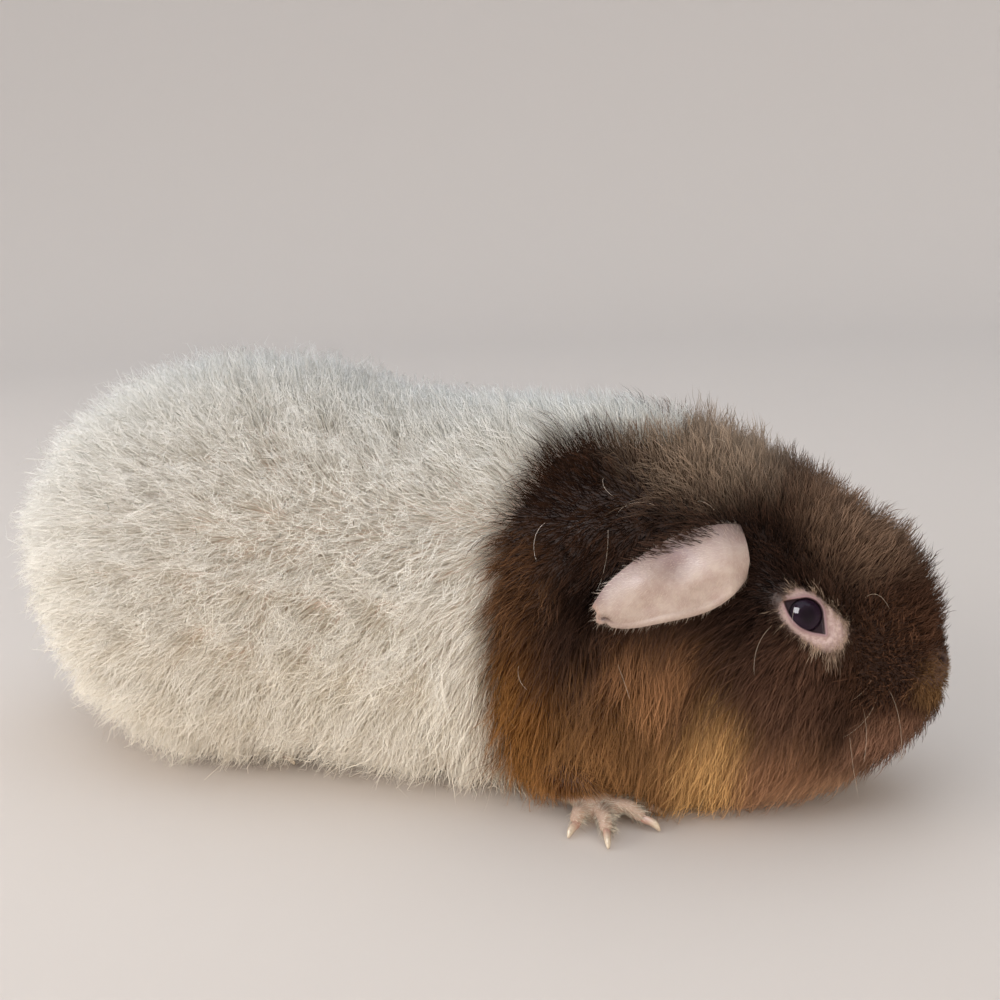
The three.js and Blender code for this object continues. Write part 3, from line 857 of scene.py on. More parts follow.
class Weave:
    """Adds nodes to a tree and wires them, each by one call."""

    def __init__(self, tree):
        self.tree = tree

    def node(self, kind, inputs=(), **settings):
        made = self.tree.nodes.new(kind)
        for key, value in settings.items():
            setattr(made, key, value)
        for slot, value in dict(inputs).items():
            self.feed(made.inputs[slot], value)
        return made

    def feed(self, socket, value):
        if isinstance(value, bpy.types.NodeSocket):
            self.tree.links.new(value, socket)
        else:
            socket.default_value = value

    def math(self, operation, a, b=0.0):
        return self.node("ShaderNodeMath", {0: a, 1: b}, operation=operation).outputs[0]

    def vector(self, operation, a, b=(0, 0, 0), out=0):
        return self.node("ShaderNodeVectorMath", {0: a, 1: b}, operation=operation).outputs[out]

    def scaled(self, a, scale):
        return self.node("ShaderNodeVectorMath", {0: a, "Scale": scale}, operation="SCALE").outputs[0]

    def mix(self, factor, a, b):
        made = self.node("ShaderNodeMix", data_type="RGBA")
        self.feed(made.inputs[0], factor)
        self.feed(made.inputs[6], a)
        self.feed(made.inputs[7], b)
        return made.outputs[2]

    def ease(self, value, low, high, to_low=0.0, to_high=1.0):
        slots = {"Value": value, "From Min": low, "From Max": high, "To Min": to_low, "To Max": to_high}
        return self.node("ShaderNodeMapRange", slots, interpolation_type="SMOOTHSTEP").outputs[0]

    def noise(self, point, scale, detail=2.0, roughness=0.5):
        slots = {"Vector": point, "Scale": scale, "Detail": detail, "Roughness": roughness}
        return self.node("ShaderNodeTexNoise", slots).outputs[0]

    def inside(self, point, centre, halves):
        """How far a point is from the middle of an ellipsoid, 1 on its face."""
        offset = self.vector("DIVIDE", self.vector("SUBTRACT", point, centre), halves)
        return self.vector("LENGTH", offset, out=1)


def new_group(name, inputs, outputs):
    group = bpy.data.node_groups.new(name, "ShaderNodeTree")
    for label, kind, value in inputs:
        socket = group.interface.new_socket(label, in_out="INPUT", socket_type=kind)
        if value is not None:
            socket.default_value = value
    for label, kind in outputs:
        group.interface.new_socket(label, in_out="OUTPUT", socket_type=kind)
    weave = Weave(group)
    return group, weave, weave.node("NodeGroupInput").outputs, weave.node("NodeGroupOutput").inputs


def brown_share(w, parts, fray, tint):
    """1 on the brown side of the seam, 0 on the white side."""
    spread = w.math("MULTIPLY", parts[1], 1 / SEAM_HALF)
    run = w.math("EXPONENT", w.math("MULTIPLY", w.math("MULTIPLY", spread, spread), -1.0))
    run = w.math("MULTIPLY", w.math("MULTIPLY", run, w.ease(parts[2], 78, 92)), SEAM_RUN)
    low = w.ease(parts[2], 12, 0, 0.0, 14.0)
    top = w.ease(parts[2], 62, 94, 0.0, SEAM_TOP)
    seam = w.math("ADD", w.math("ADD", w.math("ADD", run, low), top), SEAM_X)
    past = w.math("ADD", w.math("SUBTRACT", parts[0], seam), w.math("MULTIPLY", fray, 12.0))
    past = w.math("ADD", past, w.math("MULTIPLY", w.math("SUBTRACT", tint, 0.5), 5.0))
    return w.ease(past, -2.5, 2.5)


def ring_fuzz(w, half):
    """1 on the pale ring round an eye, 0 away from it."""
    at, rows = EYES[1]
    offset = w.vector("SUBTRACT", half, tuple(at / MM))
    slots = {index: w.vector("DOT_PRODUCT", offset, tuple(row), out=1) for index, row in enumerate(rows)}
    local = w.node("ShaderNodeCombineXYZ", slots).outputs[0]
    offset = w.vector("DIVIDE", w.vector("SUBTRACT", local, RING_MIDDLE), RING_HALF)
    offset = w.vector("ABSOLUTE", offset)
    cubes = w.vector("MULTIPLY", offset, w.vector("MULTIPLY", offset, offset))
    share = w.math("POWER", w.vector("DOT_PRODUCT", cubes, (1, 1, 1), out=1), 1 / 3)
    grain = w.math("SUBTRACT", w.noise(half, 0.55, 2.0, 0.6), 0.5)
    return w.ease(w.math("ADD", share, w.math("MULTIPLY", grain, 0.7)), 1.06, 0.86)


def markings_group():
    group, w, given, gives = new_group(
        "coat_markings",
        [
            ("Place", "NodeSocketVector", None),
            ("Along", "NodeSocketFloat", 0.5),
            ("Tint", "NodeSocketFloat", 0.5),
        ],
        [("Hair", "NodeSocketColor"), ("Skin", "NodeSocketColor"), ("Brown", "NodeSocketFloat")],
    )
    place = w.scaled(given["Place"], 1 / MM)
    parts = w.node("ShaderNodeSeparateXYZ", {0: place}).outputs
    out = w.math("ABSOLUTE", parts[1])
    half = w.node("ShaderNodeCombineXYZ", {0: parts[0], 1: out, 2: parts[2]}).outputs[0]
    fray = w.math("SUBTRACT", w.noise(place, 0.11, 3.0, 0.6), 0.5)
    along, tint = given["Along"], given["Tint"]
    brown = brown_share(w, parts, fray, tint)
    # Cream low on the body: partly the coat's own tint, partly painted warm light from the floor.
    cream_and_bounce_light = w.math("MULTIPLY", w.ease(parts[2], 78, 14), w.ease(fray, -0.3, 0.3, 0.55, 1.0))
    white_root = w.mix(cream_and_bounce_light, WHITE_ROOT, CREAM_BOUNCE_LIGHT_ROOT)
    white_tip = w.mix(cream_and_bounce_light, WHITE_TIP, CREAM_BOUNCE_LIGHT_TIP)
    dark_root, dark_tip = BROWN_ROOT, BROWN_TIP
    own = w.math("MULTIPLY", w.math("SUBTRACT", tint, 0.5), 0.35)
    loose = w.math("ADD", w.math("MULTIPLY", fray, 0.5), own)
    for centre, halves, root_colour, tip_colour, strength in PATCHES.values():
        away = w.math("ADD", w.inside(half, centre, halves), loose)
        patch = w.ease(away, 1.25, 0.55, 0.0, strength)
        dark_root = w.mix(patch, dark_root, srgb(*root_colour))
        dark_tip = w.mix(patch, dark_tip, srgb(*tip_colour))
    root = w.mix(brown, white_root, dark_root)
    tip = w.mix(brown, white_tip, dark_tip)
    foot = w.ease(w.math("ADD", w.inside(half, *FORE_FOOT), loose), 1.15, 0.85)
    ring = ring_fuzz(w, half)
    root = w.mix(foot, w.mix(ring, root, FUZZ_ROOT), FOOT_ROOT)
    tip = w.mix(foot, w.mix(ring, tip, FUZZ_TIP), FOOT_TIP)
    hair = w.mix(w.ease(along, 0.15, 0.95), root, tip)
    contrast = w.math("ADD", w.math("MULTIPLY", brown, BROWN_CONTRAST), WHITE_CONTRAST)
    shade = w.math("ADD", w.math("MULTIPLY", w.math("SUBTRACT", tint, 0.55), contrast), 1.0)
    hair = w.node("ShaderNodeHueSaturation", {"Value": shade, "Color": hair}).outputs[0]
    w.feed(gives["Hair"], hair)
    w.feed(gives["Skin"], w.mix(foot, w.mix(brown, PINK_SKIN, GREY_SKIN), FOOT_SKIN))
    w.feed(gives["Brown"], brown)
    return group


MARKINGS = markings_group()
print("markings:", len(PATCHES), "patches,", len(MARKINGS.nodes), "nodes")

# %% [markdown]
# Hair is nearly matt. Its index of refraction is set close to that of air, since the sheen of so
# many slivers would lay a grey haze over dark hair. Each hair carries three values on its points:
# the place of its root, how far along the hair the point is, and a tint: its own tone, plus a
# part that its whole lock shares, which is painted shade and light between the locks. The skin
# shows bare in the ring round each eye, on the lids and on the feet, where it is pink, a little
# mottled and finely creased. The rim of the lids is dark and moist. The tissue in the corners of
# the slit is near black, partly its own colour and partly painted shade, and the nostrils and the
# mouth are painted dark as the shade inside them.

# %% Hair and skin materials
HAIR_IOR = 1.06
NOT_RING = 9.0  # the share of the bare ring that stands for the feet, which are not in it


def new_material(name):
    material = bpy.data.materials.new(name)
    material.use_nodes = True
    shader = material.node_tree.nodes["Principled BSDF"]
    return material, Weave(material.node_tree), shader.inputs


def read_attribute(weave, name, output):
    return weave.node("ShaderNodeAttribute", attribute_name=name).outputs[output]


def place_markings(weave, place, along, tint):
    made = weave.node("ShaderNodeGroup", node_tree=MARKINGS)
    for label, value in (("Place", place), ("Along", along), ("Tint", tint)):
        weave.feed(made.inputs[label], value)
    return made.outputs


def hair_material():
    material, w, shader = new_material("coat_hair")
    along, tint = read_attribute(w, "along", "Fac"), read_attribute(w, "tint", "Fac")
    marks = place_markings(w, read_attribute(w, "root", "Vector"), along, tint)
    w.feed(shader["Base Color"], marks["Hair"])
    w.feed(shader["Roughness"], w.ease(tint, 0, 1, 0.5, 0.75))
    shader["IOR"].default_value = HAIR_IOR
    return material


def skin_material():
    material, w, shader = new_material("living_skin")
    place = w.node("ShaderNodeTexCoord").outputs["Object"]
    marks = place_markings(w, place, 0.1, 0.5)
    lid, ring = read_attribute(w, "lid", "Fac"), read_attribute(w, "ring", "Fac")
    fine = w.scaled(place, 1 / MM)
    mottle = w.noise(fine, 1.1, 3.0, 0.6)
    crease = w.noise(fine, 5.0, 3.0, 0.6)
    bare = w.mix(w.ease(mottle, 0.35, 0.65), srgb(160, 136, 133), srgb(184, 162, 156))
    bare = w.mix(w.ease(lid, 1.2, 0.4), bare, srgb(144, 116, 118))
    bare = w.mix(w.ease(lid, 0.38, 0.02), bare, srgb(44, 26, 28))
    # Inside the slit the tissue in the corners is near black: partly its own colour, partly painted shade in
    # the corners.
    bare = w.mix(w.ease(lid, -0.02, -0.4), bare, srgb(34, 20, 27))
    under = w.mix(0.45, marks["Skin"], marks["Hair"])
    edge = w.math("ADD", ring, w.math("MULTIPLY", w.math("SUBTRACT", mottle, 0.5), 0.5))
    bare = w.mix(w.ease(edge, 1.08, 0.88), under, bare)
    # Nostrils, lip groove and mouth slit are painted dark, as the shade inside them.
    w.feed(shader["Base Color"], w.mix(read_attribute(w, "hollow", "Fac"), bare, srgb(34, 20, 18)))
    w.feed(shader["Roughness"], w.ease(lid, -0.3, 0.6, 0.4, 0.6))
    shader["Specular IOR Level"].default_value = 0.2
    height = w.math("ADD", crease, mottle)
    relief = w.node("ShaderNodeBump", {"Height": height, "Strength": 0.35, "Distance": 0.25 * MM})
    w.feed(shader["Normal"], relief.outputs[0])
    return material


HAIR = hair_material()
is_foot = np.arange(len(skin.data.vertices)) >= body_points
ring_values = np.where(is_foot, NOT_RING, ring_share(positions(skin.data)))
set_attribute(skin.data, "ring", ring_values)
skin.data.materials.clear()
skin.data.materials.append(skin_material())
print("materials:", HAIR.name, skin.data.materials[0].name)

# %% [markdown]
# The ball of the eye is wet and nearly black: a darker pupil in a purple-brown iris with faint
# spokes, and a dark edge where the cornea meets the white that the lids hide. The ear is muted
# pink, greyer towards its root and browner at the rim, with painted purple shade in the hollow of
# its fold and painted dark shade inside the curl at its tip. A claw is horn, pink where the quick
# shows at its base and pale at its tip, with streaks along it.

# %% Eye, ear and claw materials
def eye_material():
    material, w, shader = new_material("wet_eye")
    angle = read_attribute(w, "pupil_angle", "Fac")
    place = w.scaled(w.node("ShaderNodeTexCoord").outputs["Object"], 1 / MM)
    spokes = w.noise(place, 2.6, 4.0, 0.7)
    iris = w.mix(spokes, srgb(18, 10, 18), srgb(40, 24, 40))
    colour = w.mix(w.ease(angle, 0.15, 0.5), srgb(20, 12, 19), iris)
    colour = w.mix(w.ease(angle, 0.62, 0.80), colour, srgb(12, 8, 11))
    w.feed(shader["Base Color"], colour)
    shader["Roughness"].default_value = 0.06
    shader["IOR"].default_value = 1.35
    shader["Specular IOR Level"].default_value = 0.32
    return material


def ear_material():
    material, w, shader = new_material("ear_petal")
    petal = read_attribute(w, "petal", "Vector")
    spots = w.node("ShaderNodeSeparateXYZ", {0: petal}).outputs
    place = w.scaled(w.node("ShaderNodeTexCoord").outputs["Object"], 1 / MM)
    cloud, veins = w.noise(place, 0.28, 3.0, 0.6), w.noise(place, 0.9, 4.0, 0.65)
    colour = w.mix(w.ease(cloud, 0.3, 0.7), srgb(163, 141, 132), srgb(180, 162, 151))
    colour = w.mix(w.ease(spots[1], 0.55, 0.05), colour, srgb(128, 104, 98))
    # Purple in the hollow of the fold: painted shade.
    hollow = w.ease(w.inside(petal, (0.40, 0.30, 0.5), (0.16, 0.18, 9.0)), 1.2, 0.2, 0.0, 0.6)
    colour = w.mix(hollow, colour, srgb(122, 98, 102))
    vein = w.ease(w.math("ABSOLUTE", w.math("SUBTRACT", veins, 0.5)), 0.035, 0.0, 0.0, 0.14)
    colour = w.mix(vein, colour, srgb(150, 112, 106))
    rim = w.math("MAXIMUM", w.ease(spots[1], 0.93, 1.0), w.ease(spots[0], 0.965, 1.0))
    colour = w.mix(w.math("MULTIPLY", rim, 0.5), colour, srgb(158, 122, 102))
    # Dark brown inside the curl at the tip: painted shade.
    curl = w.ease(w.inside(petal, (0.955, 0.78, 0.5), (0.03, 0.12, 9.0)), 1.3, 0.5, 0.0, 0.9)
    colour = w.mix(curl, colour, srgb(74, 44, 34))
    w.feed(shader["Base Color"], colour)
    w.feed(shader["Roughness"], w.ease(cloud, 0.3, 0.7, 0.5, 0.68))
    relief = w.node("ShaderNodeBump", {"Height": veins, "Strength": 0.3, "Distance": 0.3 * MM})
    w.feed(shader["Normal"], relief.outputs[0])
    return material


def claw_material():
    material, w, shader = new_material("claw_horn")
    along = read_attribute(w, "along", "Fac")
    place = w.scaled(w.node("ShaderNodeTexCoord").outputs["Object"], 1 / MM)
    streaks = w.noise(w.vector("MULTIPLY", place, (0.5, 2.5, 2.5)), 1.2, 3.0, 0.6)
    colour = w.mix(w.ease(along, 0.1, 0.75), srgb(172, 126, 112), srgb(196, 180, 158))
    colour = w.mix(w.ease(streaks, 0.45, 0.7, 0.0, 0.5), colour, srgb(150, 122, 104))
    w.feed(shader["Base Color"], colour)
    shader["Roughness"].default_value = 0.5
    return material


def dress(pieces, material):
    for piece in pieces:
        piece.data.materials.clear()
        piece.data.materials.append(material)


dress(eyeballs, eye_material())
dress(ears.values(), ear_material())
dress(claw_sets, claw_material())
print("dressed:", len(eyeballs), "eyeballs,", len(ears), "ears,", len(claw_sets), "sets of claws")

# %% [markdown]
# Hair could be a particle system, but the finished model has to be plain mesh, so each hair is a
# closed sliver. Hair of the undercoat is a needle: a small three-cornered foot under the skin,
# drawn out to a point. Hair of the outer coat has rings of three points along it, so that it can
# bend. Nearly a quarter of a million of them are worked out together, as tables of numbers, and
# written into meshes in one go, since no operator could do it in minutes. First the skin is sown
# with roots.

# %% Sow the roots
LID_BARE, SOLE_BARE = 1.3, 1.4  # mm from the lids' edges, and above the floor on the feet
RING_BARE, HOLLOW_BARE = 0.6, 0.2  # no hair inside this share of the ring, or in deeper hollows
EAR_COAT = 1.0 * MM  # the depth of the down on an ear
rng = np.random.default_rng(20)


def triangles(mesh):
    mesh.calc_loop_triangles()
    found = np.empty(len(mesh.loop_triangles) * 3, np.int32)
    mesh.loop_triangles.foreach_get("vertices", found)
    return found.reshape(-1, 3)


class Ground:
    """A surface that hair can grow on. Its rise is how far and which way the coat reaches there."""

    def __init__(self, mesh, chosen, rise):
        corners = triangles(mesh)
        self.corners = corners[chosen[corners].all(axis=1)]
        self.points, self.normals, self.rise = positions(mesh), normals(mesh), rise

    def sow(self, density):
        """Roots, so many to the square mm: place, normal and rise of each."""
        places = self.points[self.corners]
        area = np.linalg.norm(np.cross(places[:, 1] - places[:, 0], places[:, 2] - places[:, 0]), axis=1)
        wanted = 0.5 * area / MM**2 * density(places.mean(axis=1))
        counts = np.floor(wanted + rng.random(len(wanted))).astype(int)
        chosen = np.repeat(np.arange(len(counts)), counts)
        a, b = rng.random((2, len(chosen)))
        a = np.sqrt(a)
        corners = self.corners[chosen]
        weights = np.stack([1 - a, a * (1 - b), a * b], axis=1)[:, :, None]
        tables = (self.points, self.normals, self.rise)
        place, normal, rise = ((table[corners] * weights).sum(axis=1) for table in tables)
        return place, unit(normal), rise


def ear_ground(side):
    """The outer face and the free edges of an ear."""
    mesh = ears[side].data
    out = ear_axes()[3] * (1, side, 1)
    return Ground(mesh, normals(mesh) @ out > -0.2, normals(mesh) * EAR_COAT)


lid_clear = get_attribute(skin.data, "lid") > LID_BARE
smooth_skin = get_attribute(skin.data, "hollow") < HOLLOW_BARE
skin_rise = get_attribute(skin.data, "rise")
skin_height = positions(skin.data)[:, 2] / MM
ring_clear = ring_values > RING_BARE
body_ground = Ground(skin.data, ~is_foot & lid_clear & smooth_skin & ring_clear, skin_rise)
foot_ground = Ground(skin.data, is_foot & (skin_height > SOLE_BARE), skin_rise)
ear_grounds = {side: ear_ground(side) for side in ears}
print("ground:", len(body_ground.corners), "triangles of the body carry hair")

# %% [markdown]
# A hair starts out square to the skin and then leans over into the lie of the coat. Its end
# stands at the coat's outline, or a little over or under it. Plush hair is never combed: the lie
# wavers from place to place, neighbours lean together in small locks, and the hairs of the outer
# coat are crimped. Round an eye they all point away from it, and on the nose they are short.

# %% Shape the hairs
BODY_ROUND = 45 * MM  # the coat follows a body about this round
LEAST_STAND, MOST_LEAN = math.radians(8), 2.6
LOCK_SPREAD = 0.25  # what the tips of a lock keep of the distance between their roots
BEND_PULL, BEND_SWAY = 0.12, 0.25  # how much the bend of a hair follows its tip into the lock
MOST_UNEVEN = 1.7  # how many times the usual unevenness a hair's stand may be out by
LEAST_SIZE, MOST_OVER = 0.25, 0.4  # a hair's least height, and how far it may pass its layer's
BAR_X, BAR_Z, BAR_OUT = 132, 37, 3.5  # mm: a bar across the front of the nose
NOSE_CORE, NOSE_FADE, NOSE_CUT = 2.5, 9.0, 0.6  # mm from it, and how much its hair is shortened


def random_ways(count):
    return unit(rng.normal(size=(count, 3)))


def waver(root):
    """A slow change of direction over the body, as soft fur has, from -1 to 1 each way."""
    x, y, z = (root / MM).T
    along = np.sin(x / 2.6 + 1.9 * np.sin(z / 4.3)) + np.sin(z / 1.9 + y / 3.1)
    across = np.sin(y / 2.3 + 1.7 * np.sin(x / 4.6)) + np.sin(x / 1.7 - z / 3.4)
    up = np.sin(z / 2.8 + 1.3 * np.sin(y / 3.4)) + np.sin(x / 3.2 + z / 2.1)
    return np.stack([along, across, up], axis=1) / 2


def away_from_eyes(root):
    """The way out from the nearer eye, fading to nothing outside its ring."""
    right = (root[:, 1] < 0)[:, None]
    way = unit(root - np.where(right, EYES[-1][0], EYES[1][0]))
    return way * (1 - smooth(1.0, 1.6, ring_share(root)))[:, None]


def near_nose(root):
    """1 on the nose, where the coat is shortest, fading to 0 past its edge."""
    x, y, z = (root / MM).T
    away = np.linalg.norm([x - BAR_X, np.maximum(np.abs(y) - BAR_OUT, 0), z - BAR_Z], axis=0)
    return 1 - smooth(NOSE_CORE, NOSE_FADE, away)


def ruffled(root):
    """How much of its waver the coat keeps: less low on the body, and less on the fore end."""
    x, _, z = (root / MM).T
    return 1 - 0.65 * np.maximum(smooth(42, 16, z), smooth(4, 30, x))


def shape_hairs(root, normal, rise, settings):
    """The bends and tips of hairs, before they gather into locks."""
    lie, stand, _ = growth(root)
    if "lie" in settings:
        own = smooth(settings["below"] + 3, settings["below"], root[:, 2] / MM)[:, None]
        lie = lie * (1 - own) + np.array(settings["lie"]) * own
        stand = math.radians(settings["stand"])
    lie = lie + settings["waver"] * waver(root) * ruffled(root)[:, None] + 0.6 * away_from_eyes(root)
    height = np.linalg.norm(rise, axis=1)
    up = unit(rise + normal * 0.3 * MM)
    along = unit(lie - up * (lie * up).sum(axis=1, keepdims=True))
    chance = np.clip(rng.normal(size=len(root)), -MOST_UNEVEN, MOST_UNEVEN)
    stand = stand + settings["uneven_stand"] * chance
    lean = np.minimum(np.abs(1 / np.tan(np.maximum(stand, LEAST_STAND))), MOST_LEAN)
    size = height * settings["reach"] * (1 + settings["uneven"] * rng.normal(size=len(root)))
    size = np.clip(size, LEAST_SIZE * height, (settings["reach"] + MOST_OVER) * height)
    size = size * (1 - NOSE_CUT * near_nose(root))
    run = size * lean
    tip = root + up * (size - run**2 / (2 * BODY_ROUND))[:, None] + along * run[:, None]
    tip += random_ways(len(root)) * (settings["stray"] * np.hypot(size, run))[:, None]
    bend = root + up * (settings["knee"] * size)[:, None] + along * (0.28 * run)[:, None]
    return bend, tip, up


def firmness(root):
    """How strongly hairs gather into locks: least on the rump, the belly and the muzzle."""
    x, _, z = (root / MM).T
    body = 0.25 + 0.75 * smooth(-85, -45, x) * smooth(20, 66, z)
    face = 0.40 + 0.60 * smooth(46, 64, z)
    return body + (face - body) * smooth(62, 84, x)


def gather_locks(root, bend, tip, spacing, pull, swing):
    """Draws each hair's tip towards that of the lock it belongs to."""
    count = max(8, int(len(root) / spacing))
    chosen = rng.choice(len(root), count, replace=False)
    tree = KDTree(count)
    for index, place in enumerate(root[chosen]):
        tree.insert(place, index)
    tree.balance()
    lock = np.fromiter((tree.find(place)[1] for place in root), int, len(root))
    reach = np.linalg.norm(tip[chosen] - root[chosen], axis=1)
    sway = random_ways(count) * (swing * reach)[:, None]
    goal = (tip[chosen] + sway)[lock] + (root - root[chosen][lock]) * LOCK_SPREAD
    share = (pull * firmness(root) * (0.6 + 0.8 * rng.random(len(root))))[:, None]
    tip = tip + (goal - tip) * share
    bend = bend + (goal - tip) * share * BEND_PULL + sway[lock] * BEND_SWAY
    return bend, tip, lock


print("waver at the withers:", waver(np.array([[0, 0, 0.105]])).round(2))

# %% [markdown]
# The next step turns the tables into a mesh. The points of a ring stand round the hair's own
# direction. Shading normals lean most of the way to the skin's normal, so that the coat takes
# the light as one soft body, with the single hairs as its grain.

# %% Build hair meshes
GROUND_CLEAR = 0.25 * MM  # how far above the floor hair stays
UNDER_SKIN = 0.5 * MM  # how far below the skin it starts
PATCH = 0.003  # the size of one hair's patch on the bake map
SKIN_SHADING = 0.84  # the skin's share in a hair's shading normals
RING_TURN = np.radians([0, 120, 240])


def strand_faces(rings, pointed):
    """The faces of one hair with so many rings, outwards. Its root is a point or a flat foot."""
    first = 1 if pointed else 0
    faces = [(0, 1 + (k + 1) % 3, 1 + k) for k in range(3)] if pointed else [(2, 1, 0)]
    for ring in range(rings - 1):
        low, high = first + 3 * ring, first + 3 * ring + 3
        for k in range(3):
            n = (k + 1) % 3
            faces += [(low + k, low + n, high + n), (low + k, high + n, high + k)]
    last, tip = first + 3 * rings - 3, first + 3 * rings
    return np.array(faces + [(tip, last + k, last + (k + 1) % 3) for k in range(3)])


def strands(hairs, stops, crimp=0.0):
    """All points of a set of hairs. stops are (how far along, share of thickness) of each ring."""
    root, bend, tip, up = (hairs[key] for key in ("root", "bend", "tip", "up"))
    count, pointed = len(root), stops[0][0] > 0
    reach = np.linalg.norm(tip - root, axis=1)
    crimp = crimp * (1 - 0.7 * smooth(8, 32, root[:, 0] / MM)) * reach  # less on the fore end
    reference = unit(np.cross(tip - root, random_ways(count)))
    columns, outward, alongs, map_offsets = [], [], [], []
    if pointed:
        columns, outward, alongs, map_offsets = [root - up * UNDER_SKIN], [-up], [0.0], [(-0.5, 0)]
    for t, share in stops:
        middle = root * (1 - t) ** 2 + bend * 2 * t * (1 - t) + tip * t**2
        middle = middle + random_ways(count) * crimp[:, None] - up * UNDER_SKIN * (t == 0)
        heading = unit((bend - root) * (1 - t) + (tip - bend) * t)
        side = unit(reference - heading * (reference * heading).sum(axis=1, keepdims=True))
        other = np.cross(heading, side)
        for k, turn in enumerate(RING_TURN):
            way = side * math.cos(turn) + other * math.sin(turn)
            columns.append(middle + way * (hairs["width"] * share)[:, None])
            outward.append(way)
            alongs.append(t)
            map_offsets.append((t - 0.5, k / 2 - 0.5))
    columns.append(tip)
    outward.append(unit(tip - bend))
    alongs.append(1.0)
    map_offsets.append((0.5, 0))
    per_hair = len(columns)
    points = np.stack(columns, axis=1)
    points[:, :, 2] = np.maximum(points[:, :, 2], GROUND_CLEAR)
    shading = unit(np.stack(outward, axis=1) * (1 - SKIN_SHADING) + up[:, None, :] * SKIN_SHADING)
    faces = strand_faces(len(stops), pointed)[None] + (np.arange(count) * per_hair)[:, None, None]
    return {
        "points": points.reshape(-1, 3),
        "shading": shading.reshape(-1, 3),
        "faces": faces.reshape(-1, 3),
        "root": np.repeat(root, per_hair, axis=0),
        "along": np.tile(alongs, count),
        "tint": np.repeat(hairs["tint"], per_hair),
        "map": (hairs["map"][:, None, :] + np.array(map_offsets)[None] * PATCH).reshape(-1, 2),
    }


def stack(sets):
    """Several sets of strands as one set."""
    whole = {key: [] for key in sets[0]}
    start = 0
    for one in sets:
        for key, values in one.items():
            whole[key].append(values + start if key == "faces" else values)
        start += len(one["points"])
    return {key: np.concatenate(parts) for key, parts in whole.items()}


def hair_piece(name, hairs, material):
    """A mesh object of a set of strands, with its attributes and its bake map."""
    mesh = bpy.data.meshes.new(name)
    faces = hairs["faces"].astype(np.int32)
    mesh.vertices.add(len(hairs["points"]))
    mesh.vertices.foreach_set("co", hairs["points"].astype(np.float32).ravel())
    mesh.loops.add(faces.size)
    mesh.loops.foreach_set("vertex_index", faces.ravel())
    mesh.polygons.add(len(faces))
    mesh.polygons.foreach_set("loop_start", np.arange(0, faces.size, 3, dtype=np.int32))
    mesh.polygons.foreach_set("use_smooth", np.ones(len(faces), bool))
    mesh.update(calc_edges=True)
    set_attribute(mesh, "root", hairs["root"])
    set_attribute(mesh, "along", hairs["along"])
    set_attribute(mesh, "tint", hairs["tint"])
    layer = mesh.uv_layers.new(name="OFBake")
    layer.uv.foreach_set("vector", hairs["map"][faces.ravel()].astype(np.float32).ravel())
    mesh.normals_split_custom_set_from_vertices(hairs["shading"])
    mesh.materials.append(material)
    piece = bpy.data.objects.new(name, mesh)
    bpy.context.scene.collection.objects.link(piece)
    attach(piece, "root")
    return piece


print("a needle has", len(strand_faces(1, False)), "faces, an outer hair", len(strand_faces(2, True)))

# %% [markdown]
# The bake map unwraps the body by what it is, a long barrel with two round ends: around it and
# along it, where the length runs on over the ends by how close a place is to the barrel's axis.
# Each piece of the coat then fills its own map.

# %% The bake map of the coat
BARREL_Z, BARREL_ROUND, BARREL_HALF = 50.0, 46.0, 70.0  # mm: axis, radius, half length


def unwrap(place):
    x, y, z = (place / MM).T
    ring = np.hypot(y, z - BARREL_Z)
    over_end = np.clip(x / BARREL_HALF, -1, 1)
    length = x + over_end * (BARREL_ROUND - ring)
    flat = np.stack([length, np.arctan2(np.abs(y), z - BARREL_Z)], axis=1)
    low, high = flat.min(axis=0), flat.max(axis=0)
    return 0.01 + 0.98 * (flat - low) / np.maximum(high - low, 1e-6)


print("bake map: one patch is", round(PATCH**2 * 1e6, 1), "millionths of it")

# %% [markdown]
# The coat has two layers: a dense undercoat of fine needles, and longer, crimped outer hairs over
# it. On the face both are finer and shorter, and stand up in small spikes. Each layer is sown
# over the whole skin, gathered into locks, cut short where an ear is in its way, and then parted
# into pieces by where it is rooted. A pale fringe stands round the bare ring of each eye. The feet
# have a short smooth fuzz, and brown hair of the head lies over the upper edge of each ear.

# %% Grow the coat
NEEDLE = [(0.0, 1.0)]
CRIMPED = [(0.50, 1.0), (0.79, 0.8)]
FINEST_AT, FULL_AT = -1.6, 4.0  # mm: hairs get finer where the coat is less deep than the second
EAR_COVER, OVER_EAR = 14 * MM, 0.3  # how near an ear a hair lies over it, and how short it is cut
EARS_LOW, EARS_HIGH = (52, 20, 40), (100, 60, 88)  # mm: a box round an ear, as (x, |y|, z)

# how far a hair reaches as a share of the coat's depth, how uneven that is, how far its tip
# strays, how uneven its stand is in radians, how much its lie wavers, where along it bends
UNDER = dict(reach=0.86, uneven=0.12, stray=0.22, uneven_stand=0.26, waver=1.2, knee=0.6)
OUTER = dict(reach=0.98, uneven=0.12, stray=0.23, uneven_stand=0.28, waver=1.35, knee=0.75)
FACE_UNDER = dict(reach=0.90, uneven=0.16, stray=0.14, uneven_stand=0.18, waver=0.4, knee=0.55)
FACE_OUTER = dict(reach=1.18, uneven=0.22, stray=0.15, uneven_stand=0.22, waver=0.6, knee=0.6)
FRINGE = dict(reach=0.95, uneven=0.3, stray=0.22, uneven_stand=0.2, waver=0.3, knee=0.5)
FOOT = dict(reach=1.0, uneven=0.2, stray=0.15, uneven_stand=0.1, waver=0.2, knee=0.5)
EAR_EDGE = dict(reach=1.5, uneven=0.2, stray=0.1, uneven_stand=0.1, waver=0.3, knee=0.5)
DOWN = dict(reach=0.65, uneven=0.3, stray=0.2, uneven_stand=0.2, waver=0.3, knee=0.5)
